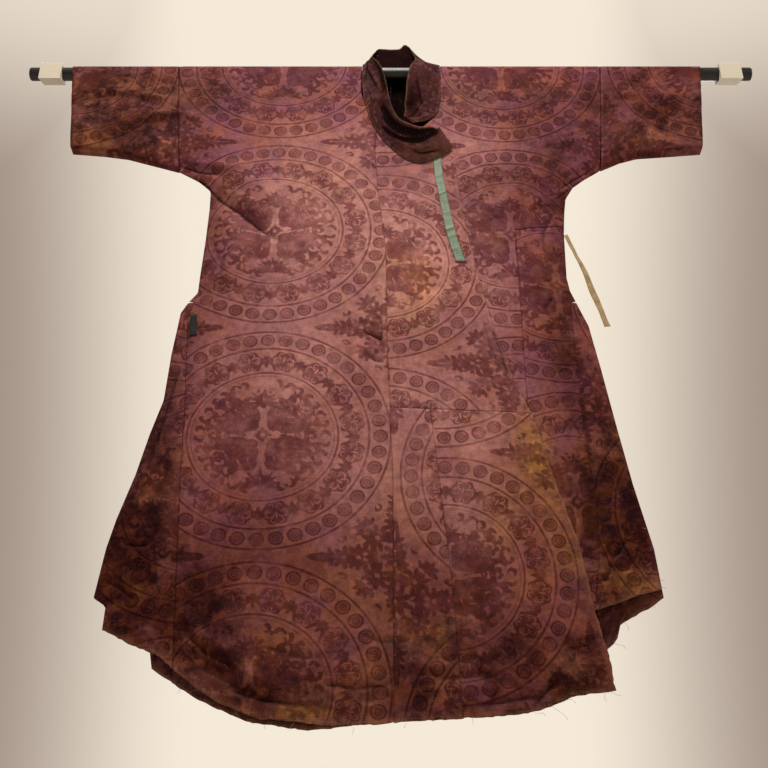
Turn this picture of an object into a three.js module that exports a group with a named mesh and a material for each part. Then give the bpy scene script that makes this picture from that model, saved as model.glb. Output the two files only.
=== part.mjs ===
// A silk twill robe hung flat on a round rod, which two wall hooks hold.
// Millimetres, +Z up. The origin is the middle of the rod's axis, the rod runs along X, the front of the robe
// faces -Y and the wall is at +Y. "Right" and "left" are the wearer's: the right side of the robe is at -X.
//
// Every body piece is a flat cut, given by x and by its drop, the distance down the cloth from the shoulder
// fold. hang() lays a point of the cut over the rod and down its front or back.
import * as THREE from 'three';

const ROD_RADIUS = 14;
const ROD_LENGTH = 1517;
const ROD_END_ROUND = 4;
const HOOK_CENTRE = 711;
const HOOK_WIDTH = 45;
const HOOK_FRONT = 18.5;                   // how far the hook stands out in front of the rod's axis
const HOOK_TOP = 18;
const HOOK_LIP = -29;                      // lowest point, at the front
const HOOK_HEEL = -8.5;                    // where its sloping underside meets the wall
const HOOK_CORNER = 5;
const HOOK_BORE = ROD_RADIUS + 0.4;
const WALL_PLANE = 23;

const WALL = 1.4;                          // thickness of the cloth
const SEAM = 0.3;                          // gap between two pieces that are sewn together
const FOLD_RADIUS = ROD_RADIUS + 0.8;      // inside of the cloth where it lies over the rod
const ARC = FOLD_RADIUS * Math.PI / 2;     // drop at which the cloth leaves the rod
const LAP = 3.2;                           // how far the outer front stands out from the under front
const HEM_HALF_DEPTH = 8;                  // half the hollow between front and back near the hem
const HEM_DEPTH_DROP = 1370;
const EDGE_WIDTH = 80;                     // strip along a side in which front and back come together
const SEAM_NECK_RIGHT = -60;               // neck edge of each front at the shoulder fold
const SEAM_NECK_LEFT = 104;
const NECK_DIP = 7;                        // how far the back neckline lies below the shoulder fold

const FRONT = -1;
const BACK = 1;
const ARC_ROWS = 4;

// ---- outlines of the cut: columns drop, x ----
const SLEEVE_SEAM_RIGHT = [[0, -446], [302, -420]];
const SLEEVE_SEAM_LEFT = [[0, 441], [299, 416]];
const SIDE_RIGHT = [
  [302, -420], [328, -377], [350, -351], [390, -350], [462, -351], [545, -355], [581, -356], [601, -371],
  [626, -384], [716, -394], [810, -399], [879, -417], [955, -432], [1037, -453], [1089, -463], [1174, -479],
];
const SIDE_LEFT = [
  [299, 416], [320, 383], [338, 358], [363, 342], [392, 337], [443, 331], [547, 327], [577, 329],
  [654, 355], [745, 369], [860, 386], [974, 405], [1090, 426], [1160, 431],
];
const NECK_RIGHT = [[0, SEAM_NECK_RIGHT], [94, -61], [127, -51], [198, -29], [248, -32]];
const NECK_LEFT = [[0, SEAM_NECK_LEFT], [111, 102], [146, 94], [173, 75], [221, 28], [262, -42]];
const CENTRE_SEAM = [[248, -32], [348, -26], [504, -10], [673, -9], [972, 1], [1375, 1]];
const OVERLAP_EDGE = [
  [248, 124], [387, 135], [459, 146], [522, 157], [656, 181], [768, 213], [856, 246], [983, 276],
  [1082, 304], [1202, 316], [1326, 339],
];
const STRIP_SEAM = [[832, 66], [1118, 93], [1369, 107]];
const GORE_SEAM_RIGHT = [[604, -366], [641, -374], [749, -368], [858, -361], [1010, -356], [1288, -342]];
const GORE_SEAM_LEFT = [[604, 332], [673, 331], [877, 333], [1009, 343], [1115, 336], [1199, 322]];
const PATCH_SEAM = [[0, 237], [818, 237], [1247, 230]];
const UNDER_EDGE = [[262, -42], [1345, -42]];
const BACK_GORE_RIGHT = [[604, -362], [858, -361], [1300, -345]];
const BACK_GORE_LEFT = [[604, 330], [877, 333], [1240, 324]];
const CENTRE_BACK = [[0, 0], [1380, 0]];
const BACK_SIDE_RIGHT = [...SIDE_RIGHT.slice(0, -1), [1174, -476], [1223, -466]];
const BACK_SIDE_LEFT = [...SIDE_LEFT, [1179, 433]];

// ---- lines across the cut: columns x, drop ----
const HEM_OUTER = [
  [-479, 1174], [-455, 1189], [-414, 1225], [-366, 1268], [-315, 1313], [-262, 1348], [-202, 1369],
  [-91, 1380], [1, 1375], [104, 1369], [183, 1364], [224, 1357], [275, 1335], [339, 1326],
];
const HEM_UNDER = [[-42, 1345], [230, 1247], [322, 1199], [363, 1185], [400, 1170], [431, 1160]];
const HEM_BACK = [
  [-463, 1223], [-436, 1238], [-408, 1251], [-379, 1285], [-300, 1336], [-225, 1369], [-128, 1381],
  [-3, 1369], [134, 1341], [261, 1297], [337, 1256], [361, 1232], [377, 1207], [431, 1179],
];
const CROSS_SEAM = [[-4, 832], [242, 844]];
const PATCH_TOP = [[236, 443], [333, 428]];
const GORE_TOP = 604;
const OVERLAP_TOP = 248;

// ---- the largest folds: soft ridges (height > 0) and troughs (height < 0), by their middle, in x and z ----
const FOLDS = [
  { face: FRONT, x: -296, z: -370, angle: -41, length: 220, width: 30, height: -7 },
  { face: FRONT, x: -272, z: -312, angle: -38, length: 220, width: 28, height: 5 },
  { face: FRONT, x: 290, z: -362, angle: 50, length: 190, width: 30, height: -6 },
  { face: FRONT, x: 238, z: -330, angle: 46, length: 190, width: 30, height: 4 },
  { face: FRONT, x: -200, z: -900, angle: 86, length: 640, width: 60, height: 4 },
  { face: FRONT, x: -85, z: -980, angle: 89, length: 560, width: 50, height: -4 },
  { face: FRONT, x: 165, z: -1040, angle: 98, length: 460, width: 55, height: 4 },
  { face: FRONT, x: -395, z: -980, angle: 78, length: 320, width: 40, height: 5 },
  { face: FRONT, x: -565, z: -110, angle: 4, length: 200, width: 30, height: -4 },
  { face: FRONT, x: 545, z: -120, angle: -5, length: 190, width: 30, height: -4 },
  { face: BACK, x: -285, z: -370, angle: -42, length: 220, width: 32, height: -6 },
  { face: BACK, x: 275, z: -365, angle: 44, length: 220, width: 32, height: -6 },
  { face: BACK, x: -170, z: -900, angle: 86, length: 640, width: 60, height: 3 },
  { face: BACK, x: 140, z: -860, angle: 94, length: 600, width: 60, height: 3 },
];

// ---- the sleeves, a row for each ring: x at the fold and at the underarm, drop of the underarm, half the depth
// at the underarm and above it, and how high the rounding between them is ----
const SLEEVE_RIGHT = [
  { top: -668, x: -642, drop: 236, base: 10, half: 15.5, round: 26 },
  { top: -603, x: -576, drop: 246, base: 8.5, half: 15, round: 34 },
  { top: -554, x: -527, drop: 261, base: 6, half: 14.8, round: 46 },
  { top: -519, x: -492, drop: 277, base: 4, half: 14.8, round: 60 },
  { top: -470, x: -444, drop: 295, base: 2, half: 14.8, round: 76 },
  { top: -446, x: -420, drop: 302, base: 1.4, half: 14.8, round: EDGE_WIDTH },
];
const SLEEVE_LEFT = [
  { top: 441, x: 416, drop: 299, base: 1.4, half: 14.8, round: EDGE_WIDTH },
  { top: 478, x: 457, drop: 279, base: 2, half: 14.8, round: 70 },
  { top: 515, x: 493, drop: 264, base: 4, half: 14.8, round: 54 },
  { top: 583, x: 556, drop: 252, base: 7, half: 15, round: 36 },
  { top: 650, x: 624, drop: 242, base: 10, half: 15.5, round: 26 },
];
const SLEEVE_COLUMNS = 9;
const SLEEVE_ROWS = 9;                     // rows of each face below the rod

// ---- the collar: one band from the flap round the neck; sewn edge, then free edge, each x, y, z ----
const COLLAR = [
  { sewn: [124, -21.5, -220], free: [97, -25, -170] },
  { sewn: [109, -21.5, -237], free: [91, -25.5, -173] },
  { sewn: [81, -21.4, -252], free: [79, -26, -169] },
  { sewn: [57, -19.5, -260], free: [58, -26, -170] },
  { sewn: [30, -19.5, -250], free: [34, -26, -160] },
  { sewn: [8, -19.6, -229], free: [18, -26, -149] },
  { sewn: [-10, -19.7, -208], free: [6, -26, -127] },
  { sewn: [-28, -19.9, -177], free: [-2, -26, -97] },
  { sewn: [-42, -20, -142], free: [-6, -26, -70] },
  { sewn: [-55, -19.8, -90], free: [-10, -25.5, -42] },
  { sewn: [-58.5, -18.3, -50], free: [-16, -24.5, -13] },
  { sewn: [-59, -17.6, -17], free: [-24, -20, 12] },
  { sewn: [-59, -14.5, 9], free: [-32, -13, 30] },
  { sewn: [-59, -8, 16.5], free: [-38, -4, 46] },
  { sewn: [-59, 1, 18.4], free: [-37, 4, 62] },
  { sewn: [-59, 9.5, 16], free: [-32, 11, 77] },
  { sewn: [-54, 17.5, 6], free: [-26, 17, 91] },
  { sewn: [-42, 17.7, -4], free: [-12, 20.5, 94] },
  { sewn: [-8, 17.7, -11], free: [4, 21.3, 94] },
  { sewn: [26, 17.7, -12], free: [20, 21.3, 96] },
  { sewn: [62, 17.7, -5], free: [30, 20.5, 107] },
  { sewn: [88, 17.6, 6], free: [40, 17, 97] },
  { sewn: [102.6, 9.5, 16], free: [46, 10, 74] },
  { sewn: [102.9, 0, 18.2], free: [51, 1, 50] },
  { sewn: [102.9, -8, 16.5], free: [52, -7, 36] },
  { sewn: [102.9, -14.5, 9], free: [48, -14, 22] },
  { sewn: [102, -17.6, -8], free: [40, -20, 0] },
  { sewn: [102, -17.4, -45], free: [33, -20.5, -40] },
  { sewn: [101, -17.3, -87], free: [31, -20.8, -80] },
  { sewn: [94, -17.2, -123], free: [28, -21, -101] },
  { sewn: [75, -17.2, -144], free: [29, -21, -122] },
  { sewn: [43, -17.3, -152], free: [26, -21, -137] },
];
const COLLAR_COLUMNS = 3;

// ---- the ties and the loop: middle line x, z and width; the side tie also y ----
const TIE_WALL = 1.2;
const NECK_TIE_LIFT = 0.45;
const LOOP_LIFT = 0.5;
const NECK_TIE = [
  { x: 91, z: -232, width: 15.5 }, { x: 94, z: -290, width: 16 }, { x: 99, z: -328, width: 16 },
  { x: 104, z: -365, width: 16.5 }, { x: 109, z: -401, width: 17 }, { x: 115, z: -437, width: 18 },
  { x: 130, z: -498, width: 18.5 },
];
const LOOP_TAB = [
  { x: -363, z: -612, width: 12 }, { x: -362, z: -628, width: 13 }, { x: -361, z: -644, width: 13 },
  { x: -360, z: -658, width: 12 },
];
const SIDE_TIE = [
  { x: 335.2, y: -1, z: -423, width: 7 }, { x: 350, y: 2, z: -464, width: 8 }, { x: 366, y: 6, z: -505, width: 9 },
  { x: 376, y: 9, z: -544, width: 11 }, { x: 387, y: 12, z: -578, width: 12 }, { x: 399, y: 15, z: -622, width: 13 },
];

// ---- finishes ----
const SILK = { color: 0x6e4446, roughness: 0.62, metalness: 0 };
const SILK_DARK = { color: 0x55343a, roughness: 0.66, metalness: 0 };
const SILK_WARM = { color: 0x7b5140, roughness: 0.6, metalness: 0 };
const GREEN_SILK = { color: 0x8f9477, roughness: 0.6, metalness: 0 };
const OCHRE_SILK = { color: 0x8c7346, roughness: 0.6, metalness: 0 };
const NAVY_SILK = { color: 0x20202a, roughness: 0.6, metalness: 0 };
const BLACK_PAINT = { color: 0x0c0c0d, roughness: 0.28, metalness: 0 };
const WHITE_PAINT = { color: 0xe9e7e2, roughness: 0.45, metalness: 0 };

const robe = new THREE.Group();

// value of a table of two columns at one place, straight between its rows and level beyond its ends
function along(table, place) {
  if (place <= table[0][0]) return table[0][1];
  for (let i = 1; i < table.length; i += 1) {
    const [from, low] = table[i - 1];
    const [to, high] = table[i];
    if (place <= to) return low + (high - low) * (place - from) / (to - from);
  }
  return table[table.length - 1][1];
}

const lerp = (a, b, t) => a + (b - a) * t;
const clamp = (value, low, high) => Math.min(high, Math.max(low, value));
const ease = (t) => clamp(t, 0, 1) ** 2 * (3 - 2 * clamp(t, 0, 1));

// distance of a point of the cut from one side of the robe
function distanceToSide(side, x, drop) {
  let nearest = Infinity;
  for (let i = 1; i < side.length; i += 1) {
    const [d0, x0] = side[i - 1];
    const [d1, x1] = side[i];
    const run = (d1 - d0) ** 2 + (x1 - x0) ** 2;
    const t = clamp(((drop - d0) * (d1 - d0) + (x - x0) * (x1 - x0)) / run, 0, 1);
    nearest = Math.min(nearest, Math.hypot(drop - lerp(d0, d1, t), x - lerp(x0, x1, t)));
  }
  return nearest;
}

// how far the cloth swells out or in at a fold, seen from outside
function foldHeight(x, z, face) {
  let height = 0;
  for (const fold of FOLDS) {
    if (fold.face !== face) continue;
    const angle = THREE.MathUtils.degToRad(fold.angle);
    const alongFold = (x - fold.x) * Math.cos(angle) + (z - fold.z) * Math.sin(angle);
    const across = (z - fold.z) * Math.cos(angle) - (x - fold.x) * Math.sin(angle);
    const end = 1 - ease((Math.abs(alongFold) / fold.length - 0.25) * 4);
    height += fold.height * end * Math.exp(-((across / fold.width) ** 2));
  }
  return height * ease((-z - 15) / 60);
}

// fullness of the robe, 0 at a side edge and 1 away from it
function fullness(x, drop) {
  const edge = Math.min(distanceToSide(SIDE_RIGHT, x, drop), distanceToSide(SIDE_LEFT, x, drop));
  const outside = drop > SIDE_RIGHT[0][0] && (x < along(SIDE_RIGHT, drop) || x > along(SIDE_LEFT, drop));
  return outside ? 0 : Math.sin(Math.PI / 2 * Math.min(1, edge / EDGE_WIDTH));
}

// a point of the cut, hung on the rod; out is its distance out from the inside face of the lowest layer
function hang(x, drop, face, out, lap = 0) {
  if (drop < ARC) {
    const turn = drop / FOLD_RADIUS;
    const radius = FOLD_RADIUS + out;
    return [x, face * Math.max(SEAM / 2, radius * Math.sin(turn)), radius * Math.cos(turn)];
  }
  const z = ARC - drop;
  const half = lerp(FOLD_RADIUS, HEM_HALF_DEPTH, clamp(-z / HEM_DEPTH_DROP, 0, 1));
  const layer = lap * ease((-z - 15) / 105);
  const depth = (half + layer + foldHeight(x, z, face)) * fullness(x, drop);
  return [x, face * (SEAM / 2 + depth + out), z];
}

// closed mesh from a list of points and faces, turned so that its faces point out
function solid(points, triangles) {
  let volume = 0;
  const a = new THREE.Vector3();
  const b = new THREE.Vector3();
  const c = new THREE.Vector3();
  for (const [i, j, k] of triangles) {
    a.fromArray(points[i]);
    b.fromArray(points[j]);
    c.fromArray(points[k]);
    volume += a.dot(b.cross(c));
  }
  const turned = volume < 0 ? triangles.map(([i, j, k]) => [i, k, j]) : triangles;
  const geometry = new THREE.BufferGeometry();
  geometry.setAttribute('position', new THREE.Float32BufferAttribute(points.flat(), 3));
  geometry.setIndex(turned.flat());
  geometry.computeVertexNormals();
  return geometry;
}

function add(name, geometry, finish) {
  const mesh = new THREE.Mesh(geometry, new THREE.MeshStandardMaterial(finish));
  mesh.name = name;
  robe.add(mesh);
}

// a wall between an outer and an inner grid of points; used(row, column) leaves cells out
function wallGeometry(outer, inner, used = () => true) {
  const rows = outer.length;
  const columns = outer[0].length;
  const points = [];
  const index = new Map();
  const at = (grid, skin, r, c) => {
    const key = `${skin} ${r} ${c}`;
    if (!index.has(key)) {
      index.set(key, points.length);
      points.push(grid[r][c]);
    }
    return index.get(key);
  };
  const triangles = [];
  const cell = (r, c) => r >= 0 && c >= 0 && r < rows - 1 && c < columns - 1 && used(r, c);
  const quad = (p, q, s, t) => triangles.push([p, q, s], [p, s, t]);
  for (let r = 0; r < rows - 1; r += 1) {
    for (let c = 0; c < columns - 1; c += 1) {
      if (!cell(r, c)) continue;
      const o = (dr, dc) => at(outer, 'o', r + dr, c + dc);
      const i = (dr, dc) => at(inner, 'i', r + dr, c + dc);
      quad(o(0, 0), o(1, 0), o(1, 1), o(0, 1));
      quad(i(0, 0), i(0, 1), i(1, 1), i(1, 0));
      if (!cell(r - 1, c)) quad(o(0, 0), o(0, 1), i(0, 1), i(0, 0));
      if (!cell(r + 1, c)) quad(o(1, 1), o(1, 0), i(1, 0), i(1, 1));
      if (!cell(r, c - 1)) quad(o(1, 0), o(0, 0), i(0, 0), i(1, 0));
      if (!cell(r, c + 1)) quad(o(0, 1), o(1, 1), i(1, 1), i(0, 1));
    }
  }
  return solid(points, triangles);
}

// a lattice is a list of lines across the cut, each with the number of rows that lead to it
function latticeRows(lattice) {
  const rows = [lattice[0].drop];
  for (let i = 1; i < lattice.length; i += 1) {
    const from = lattice[i - 1].drop;
    const { drop: to, rows: steps } = lattice[i];
    for (let k = 1; k <= steps; k += 1) rows.push((x) => lerp(from(x), to(x), k / steps));
  }
  return rows;
}

const NECK_MIDDLE = (SEAM_NECK_RIGHT + SEAM_NECK_LEFT) / 2;
const NECK_HALF = (SEAM_NECK_LEFT - SEAM_NECK_RIGHT) / 2;
const backNeck = (x) => NECK_DIP * Math.max(0, 1 - ((x - NECK_MIDDLE) / NECK_HALF) ** 2);

const OUTER_LATTICE = latticeRows([
  { drop: () => 0 },
  { drop: () => ARC, rows: ARC_ROWS },
  { drop: () => OVERLAP_TOP, rows: 5 },
  { drop: () => GORE_TOP, rows: 8 },
  { drop: (x) => along(CROSS_SEAM, x), rows: 5 },
  { drop: (x) => along(HEM_OUTER, x), rows: 12 },
]);
const OUTER_OVERLAP_TOP = ARC_ROWS + 5;
const OUTER_GORE_TOP = OUTER_OVERLAP_TOP + 8;
const OUTER_CROSS_SEAM = OUTER_GORE_TOP + 5;
const UNDER_LATTICE = latticeRows([
  { drop: () => 0 },
  { drop: () => ARC, rows: ARC_ROWS },
  { drop: () => 262, rows: 5 },
  { drop: (x) => along(PATCH_TOP, x), rows: 4 },
  { drop: () => GORE_TOP, rows: 4 },
  { drop: (x) => along(HEM_UNDER, x), rows: 13 },
]);
const UNDER_PATCH_TOP = ARC_ROWS + 9;
const UNDER_GORE_TOP = UNDER_PATCH_TOP + 4;
const BACK_LATTICE = latticeRows([
  { drop: backNeck },
  { drop: () => ARC, rows: ARC_ROWS },
  { drop: () => GORE_TOP, rows: 11 },
  { drop: (x) => along(HEM_BACK, x), rows: 15 },
]);
const BACK_GORE_TOP = ARC_ROWS + 11;

// x where a row of a lattice meets a line down the cut
function meet(row, line) {
  let x = line(0);
  for (let i = 0; i < 30; i += 1) x = lerp(x, line(row(x)), 0.7);
  return x;
}

// one cut piece, as bands side by side; each band runs between two lines down the cut, from one row to another
function panel(name, finish, { lattice, face, lap = 0, bands, first = 0, last = lattice.length - 1 }) {
  const edges = bands.map((band) => band.left).concat(bands[bands.length - 1].right);
  const outer = [];
  const inner = [];
  const columnsOfBand = bands.flatMap((band, b) => Array(band.columns).fill(b));
  for (let r = first; r <= last; r += 1) {
    const row = lattice[r];
    const meets = edges.map((line, e) => {
      const gap = e === 0 ? SEAM / 2 : e === edges.length - 1 ? -SEAM / 2 : 0;
      return meet(row, line) + gap;
    });
    const xs = bands.flatMap((band, b) =>
      Array.from({ length: band.columns }, (_, c) => lerp(meets[b], meets[b + 1], c / band.columns)));
    xs.push(meets[meets.length - 1]);
    const sewnAbove = r === first && first > 0 ? SEAM / 2 : 0;
    const sewnBelow = r === last && last < lattice.length - 1 ? SEAM / 2 : 0;
    const seamGap = sewnAbove - sewnBelow;
    outer.push(xs.map((x) => hang(x, row(x) + seamGap, face, WALL, lap)));
    inner.push(xs.map((x) => hang(x, row(x) + seamGap, face, 0, lap)));
  }
  const used = (r, c) => r + first < (bands[columnsOfBand[c]].last ?? last);
  add(name, wallGeometry(outer, inner, used), finish);
}

const line = (table) => (drop) => along(table, drop);
const outline = (seam, side) => (drop) => (drop < side[0][0] ? along(seam, drop) : along(side, drop));
const sideRight = outline(SLEEVE_SEAM_RIGHT, SIDE_RIGHT);
const sideLeft = outline(SLEEVE_SEAM_LEFT, SIDE_LEFT);
const bodySideRight = (seam) => (drop) => (drop < GORE_TOP ? sideRight(drop) : along(seam, drop));
const bodySideLeft = (seam) => (drop) => (drop < GORE_TOP ? sideLeft(drop) : along(seam, drop));
const neckAndCentre = outline(NECK_RIGHT, CENTRE_SEAM);
const neckAndUnderEdge = outline(NECK_LEFT, UNDER_EDGE);

function fronts() {
  panel('front_right_body', SILK, {
    lattice: OUTER_LATTICE, face: FRONT, lap: LAP,
    bands: [{ left: bodySideRight(GORE_SEAM_RIGHT), right: neckAndCentre, columns: 10 }],
  });
  panel('front_right_gore', SILK_DARK, {
    lattice: OUTER_LATTICE, face: FRONT, lap: LAP, first: OUTER_GORE_TOP,
    bands: [{ left: sideRight, right: line(GORE_SEAM_RIGHT), columns: 4 }],
  });
  panel('overlap_upper', SILK_WARM, {
    lattice: OUTER_LATTICE, face: FRONT, lap: LAP, first: OUTER_OVERLAP_TOP, last: OUTER_CROSS_SEAM,
    bands: [{ left: line(CENTRE_SEAM), right: line(OVERLAP_EDGE), columns: 5 }],
  });
  panel('overlap_strip', SILK, {
    lattice: OUTER_LATTICE, face: FRONT, lap: LAP, first: OUTER_CROSS_SEAM,
    bands: [{ left: line(CENTRE_SEAM), right: line(STRIP_SEAM), columns: 3 }],
  });
  panel('overlap_lower', SILK_DARK, {
    lattice: OUTER_LATTICE, face: FRONT, lap: LAP, first: OUTER_CROSS_SEAM,
    bands: [{ left: line(STRIP_SEAM), right: line(OVERLAP_EDGE), columns: 6 }],
  });
  panel('front_left_body', SILK, {
    lattice: UNDER_LATTICE, face: FRONT,
    bands: [
      { left: neckAndUnderEdge, right: line(PATCH_SEAM), columns: 6 },
      { left: line(PATCH_SEAM), right: sideLeft, columns: 4, last: UNDER_PATCH_TOP },
    ],
  });
  panel('front_left_side', SILK_WARM, {
    lattice: UNDER_LATTICE, face: FRONT, first: UNDER_PATCH_TOP,
    bands: [{ left: (drop) => along(PATCH_SEAM, drop) + SEAM, right: bodySideLeft(GORE_SEAM_LEFT), columns: 3 }],
  });
  panel('front_left_gore', SILK_DARK, {
    lattice: UNDER_LATTICE, face: FRONT, first: UNDER_GORE_TOP,
    bands: [{ left: line(GORE_SEAM_LEFT), right: sideLeft, columns: 3 }],
  });
}

function backs() {
  panel('back_right_body', SILK, {
    lattice: BACK_LATTICE, face: BACK,
    bands: [{ left: bodySideRight(BACK_GORE_RIGHT), right: line(CENTRE_BACK), columns: 9 }],
  });
  panel('back_left_body', SILK, {
    lattice: BACK_LATTICE, face: BACK,
    bands: [{ left: line(CENTRE_BACK), right: bodySideLeft(BACK_GORE_LEFT), columns: 9 }],
  });
  panel('back_right_gore', SILK_DARK, {
    lattice: BACK_LATTICE, face: BACK, first: BACK_GORE_TOP,
    bands: [{ left: line(BACK_SIDE_RIGHT), right: line(BACK_GORE_RIGHT), columns: 4 }],
  });
  panel('back_left_gore', SILK_DARK, {
    lattice: BACK_LATTICE, face: BACK, first: BACK_GORE_TOP,
    bands: [{ left: line(BACK_GORE_LEFT), right: line(BACK_SIDE_LEFT), columns: 3 }],
  });
}

// one ring of a sleeve: down the front, across the underarm and up the back; place counts the table's rows
function sleeveRing(table, place, shift, out) {
  const value = (key) => along(table.map((row, i) => [i, row[key]]), place);
  const bottom = value('drop') + out - WALL;
  const across = (drop) => lerp(value('top'), value('x'), drop / bottom) + shift;
  const ring = [];
  for (const face of [FRONT, BACK]) {
    const side = [];
    for (let k = 0; k < ARC_ROWS; k += 1) {
      const turn = k / ARC_ROWS * Math.PI / 2;
      const radius = FOLD_RADIUS + out;
      side.push([across(turn * FOLD_RADIUS), face * radius * Math.sin(turn), radius * Math.cos(turn)]);
    }
    for (let k = 0; k <= SLEEVE_ROWS; k += 1) {
      const drop = lerp(ARC, bottom, k / SLEEVE_ROWS);
      const z = ARC - drop;
      const x = across(drop);
      const half = lerp(FOLD_RADIUS, value('half'), ease(-z / 90)) + foldHeight(x, z, face);
      const full = Math.sqrt(1 - (1 - clamp((bottom - drop) / value('round'), 0, 1)) ** 2);
      side.push([x, face * (lerp(value('base'), half, full) + out), z]);
    }
    ring.push(...(face === FRONT ? side : side.reverse().slice(0, -1)));
  }
  return ring;
}

function sleeve(name, table, shift) {
  const outer = [];
  const inner = [];
  for (let c = 0; c <= SLEEVE_COLUMNS; c += 1) {
    const place = c / SLEEVE_COLUMNS * (table.length - 1);
    outer.push(sleeveRing(table, place, shift, WALL));
    inner.push(sleeveRing(table, place, shift, 0));
  }
  const points = [...outer.flat(), ...inner.flat()];
  const around = outer[0].length;
  const skin = outer.length * around;
  const triangles = [];
  const quad = (p, q, s, t) => triangles.push([p, q, s], [p, s, t]);
  for (let k = 0; k < around; k += 1) {
    const n = (k + 1) % around;
    for (let c = 0; c < SLEEVE_COLUMNS; c += 1) {
      const a = c * around;
      const b = a + around;
      quad(a + k, a + n, b + n, b + k);
      quad(skin + a + n, skin + a + k, skin + b + k, skin + b + n);
    }
    const end = SLEEVE_COLUMNS * around;
    quad(k, skin + k, skin + n, n);
    quad(end + n, skin + end + n, skin + end + k, end + k);
  }
  add(name, solid(points, triangles), SILK);
}

// a band of cloth of one thickness through rows of points, each moved half the thickness to both sides
function band(name, finish, rows, thickness) {
  const direction = (r, c) => {
    const before = rows[Math.max(0, r - 1)][c];
    const after = rows[Math.min(rows.length - 1, r + 1)][c];
    const across = new THREE.Vector3().subVectors(rows[r][rows[r].length - 1], rows[r][0]);
    return new THREE.Vector3().subVectors(after, before).cross(across).normalize();
  };
  const moved = (amount) => rows.map((row, r) =>
    row.map((point, c) => point.clone().addScaledVector(direction(r, c), amount).toArray()));
  add(name, wallGeometry(moved(thickness / 2), moved(-thickness / 2)), finish);
}

function collar() {
  const rows = COLLAR.map(({ sewn, free }) => {
    const from = new THREE.Vector3(...sewn);
    const to = new THREE.Vector3(...free);
    return Array.from({ length: COLLAR_COLUMNS + 1 }, (_, c) => from.clone().lerp(to, c / COLLAR_COLUMNS));
  });
  band('collar', SILK_DARK, rows, WALL);
}

// a strip that follows the outer front's own surface, moved out
function stripOnFront(name, finish, table, lift) {
  const surface = (x, z, out) => hang(x, ARC - z, FRONT, out, LAP);
  const skin = (out) => table.map(({ x, z, width }) =>
    [-0.5, 0, 0.5].map((side) => surface(x + side * width, z, WALL + out)));
  add(name, wallGeometry(skin(lift + TIE_WALL), skin(lift)), finish);
}

function sideTie() {
  const rows = SIDE_TIE.map(({ x, y, z, width }, i) => {
    const a = SIDE_TIE[Math.max(0, i - 1)];
    const b = SIDE_TIE[Math.min(SIDE_TIE.length - 1, i + 1)];
    const across = new THREE.Vector3(a.z - b.z, 0, b.x - a.x).normalize().multiplyScalar(width / 2);
    const middle = new THREE.Vector3(x, y, z);
    return [middle.clone().sub(across), middle.clone().add(across)];
  });
  band('side_tie', OCHRE_SILK, rows, TIE_WALL);
}

function rod() {
  const half = ROD_LENGTH / 2;
  const profile = [new THREE.Vector2(0, -half), new THREE.Vector2(ROD_RADIUS - ROD_END_ROUND, -half)];
  profile.push(new THREE.Vector2(ROD_RADIUS - 1.2, -half + 1.2), new THREE.Vector2(ROD_RADIUS, -half + ROD_END_ROUND));
  const mirrored = profile.map((point) => new THREE.Vector2(point.x, -point.y)).reverse();
  const geometry = new THREE.LatheGeometry([...profile, ...mirrored], 28);
  geometry.rotateZ(Math.PI / 2);
  add('rod', geometry, BLACK_PAINT);
}

// a block with a bore for the rod, its back flat on the wall and its underside sloping up to it
function hook(name, centre) {
  const outline = new THREE.Shape();
  outline.moveTo(-WALL_PLANE, HOOK_HEEL);
  outline.lineTo(HOOK_FRONT, HOOK_LIP);
  outline.lineTo(HOOK_FRONT, HOOK_TOP - HOOK_CORNER);
  outline.absarc(HOOK_FRONT - HOOK_CORNER, HOOK_TOP - HOOK_CORNER, HOOK_CORNER, 0, Math.PI / 2, false);
  outline.lineTo(-WALL_PLANE, HOOK_TOP);
  outline.closePath();
  const bore = new THREE.Path();
  bore.absarc(0, 0, HOOK_BORE, 0, Math.PI * 2, true);
  outline.holes.push(bore);
  const geometry = new THREE.ExtrudeGeometry(outline, { depth: HOOK_WIDTH, bevelEnabled: false, curveSegments: 14 });
  geometry.translate(0, 0, -HOOK_WIDTH / 2);
  // the outline's first axis points out of the wall, to -Y, and the block is as long as it is wide along X
  const basis = new THREE.Matrix4().makeBasis(
    new THREE.Vector3(0, -1, 0), new THREE.Vector3(0, 0, 1), new THREE.Vector3(-1, 0, 0));
  geometry.applyMatrix4(basis);
  geometry.translate(centre, 0, 0);
  add(name, geometry, WHITE_PAINT);
}

rod();
hook('hook_right', -HOOK_CENTRE);
hook('hook_left', HOOK_CENTRE);
fronts();
backs();
sleeve('sleeve_right', SLEEVE_RIGHT, -SEAM);
sleeve('sleeve_left', SLEEVE_LEFT, SEAM);
collar();
stripOnFront('neck_tie', GREEN_SILK, NECK_TIE, NECK_TIE_LIFT);
stripOnFront('loop_tab', NAVY_SILK, LOOP_TAB, LOOP_LIFT);
sideTie();

export default robe;
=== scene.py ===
# %% [markdown]
# # A silk twill robe on its display rod
#
# The robe is flat cut cloth: straight widths from shoulder to hem, gores that flare the skirt, an overlap
# with a slanting free edge, two short sleeves and a crumpled stand collar. It hangs over a round black rod
# in two hooks.
#
# Cloth like this could be simulated, but the robe hangs almost flat and every crease has its own place. So
# each cut piece is laid out flat, in millimetres, and then hung by one formula: over the rod and down its
# front or back.

import math

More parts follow.
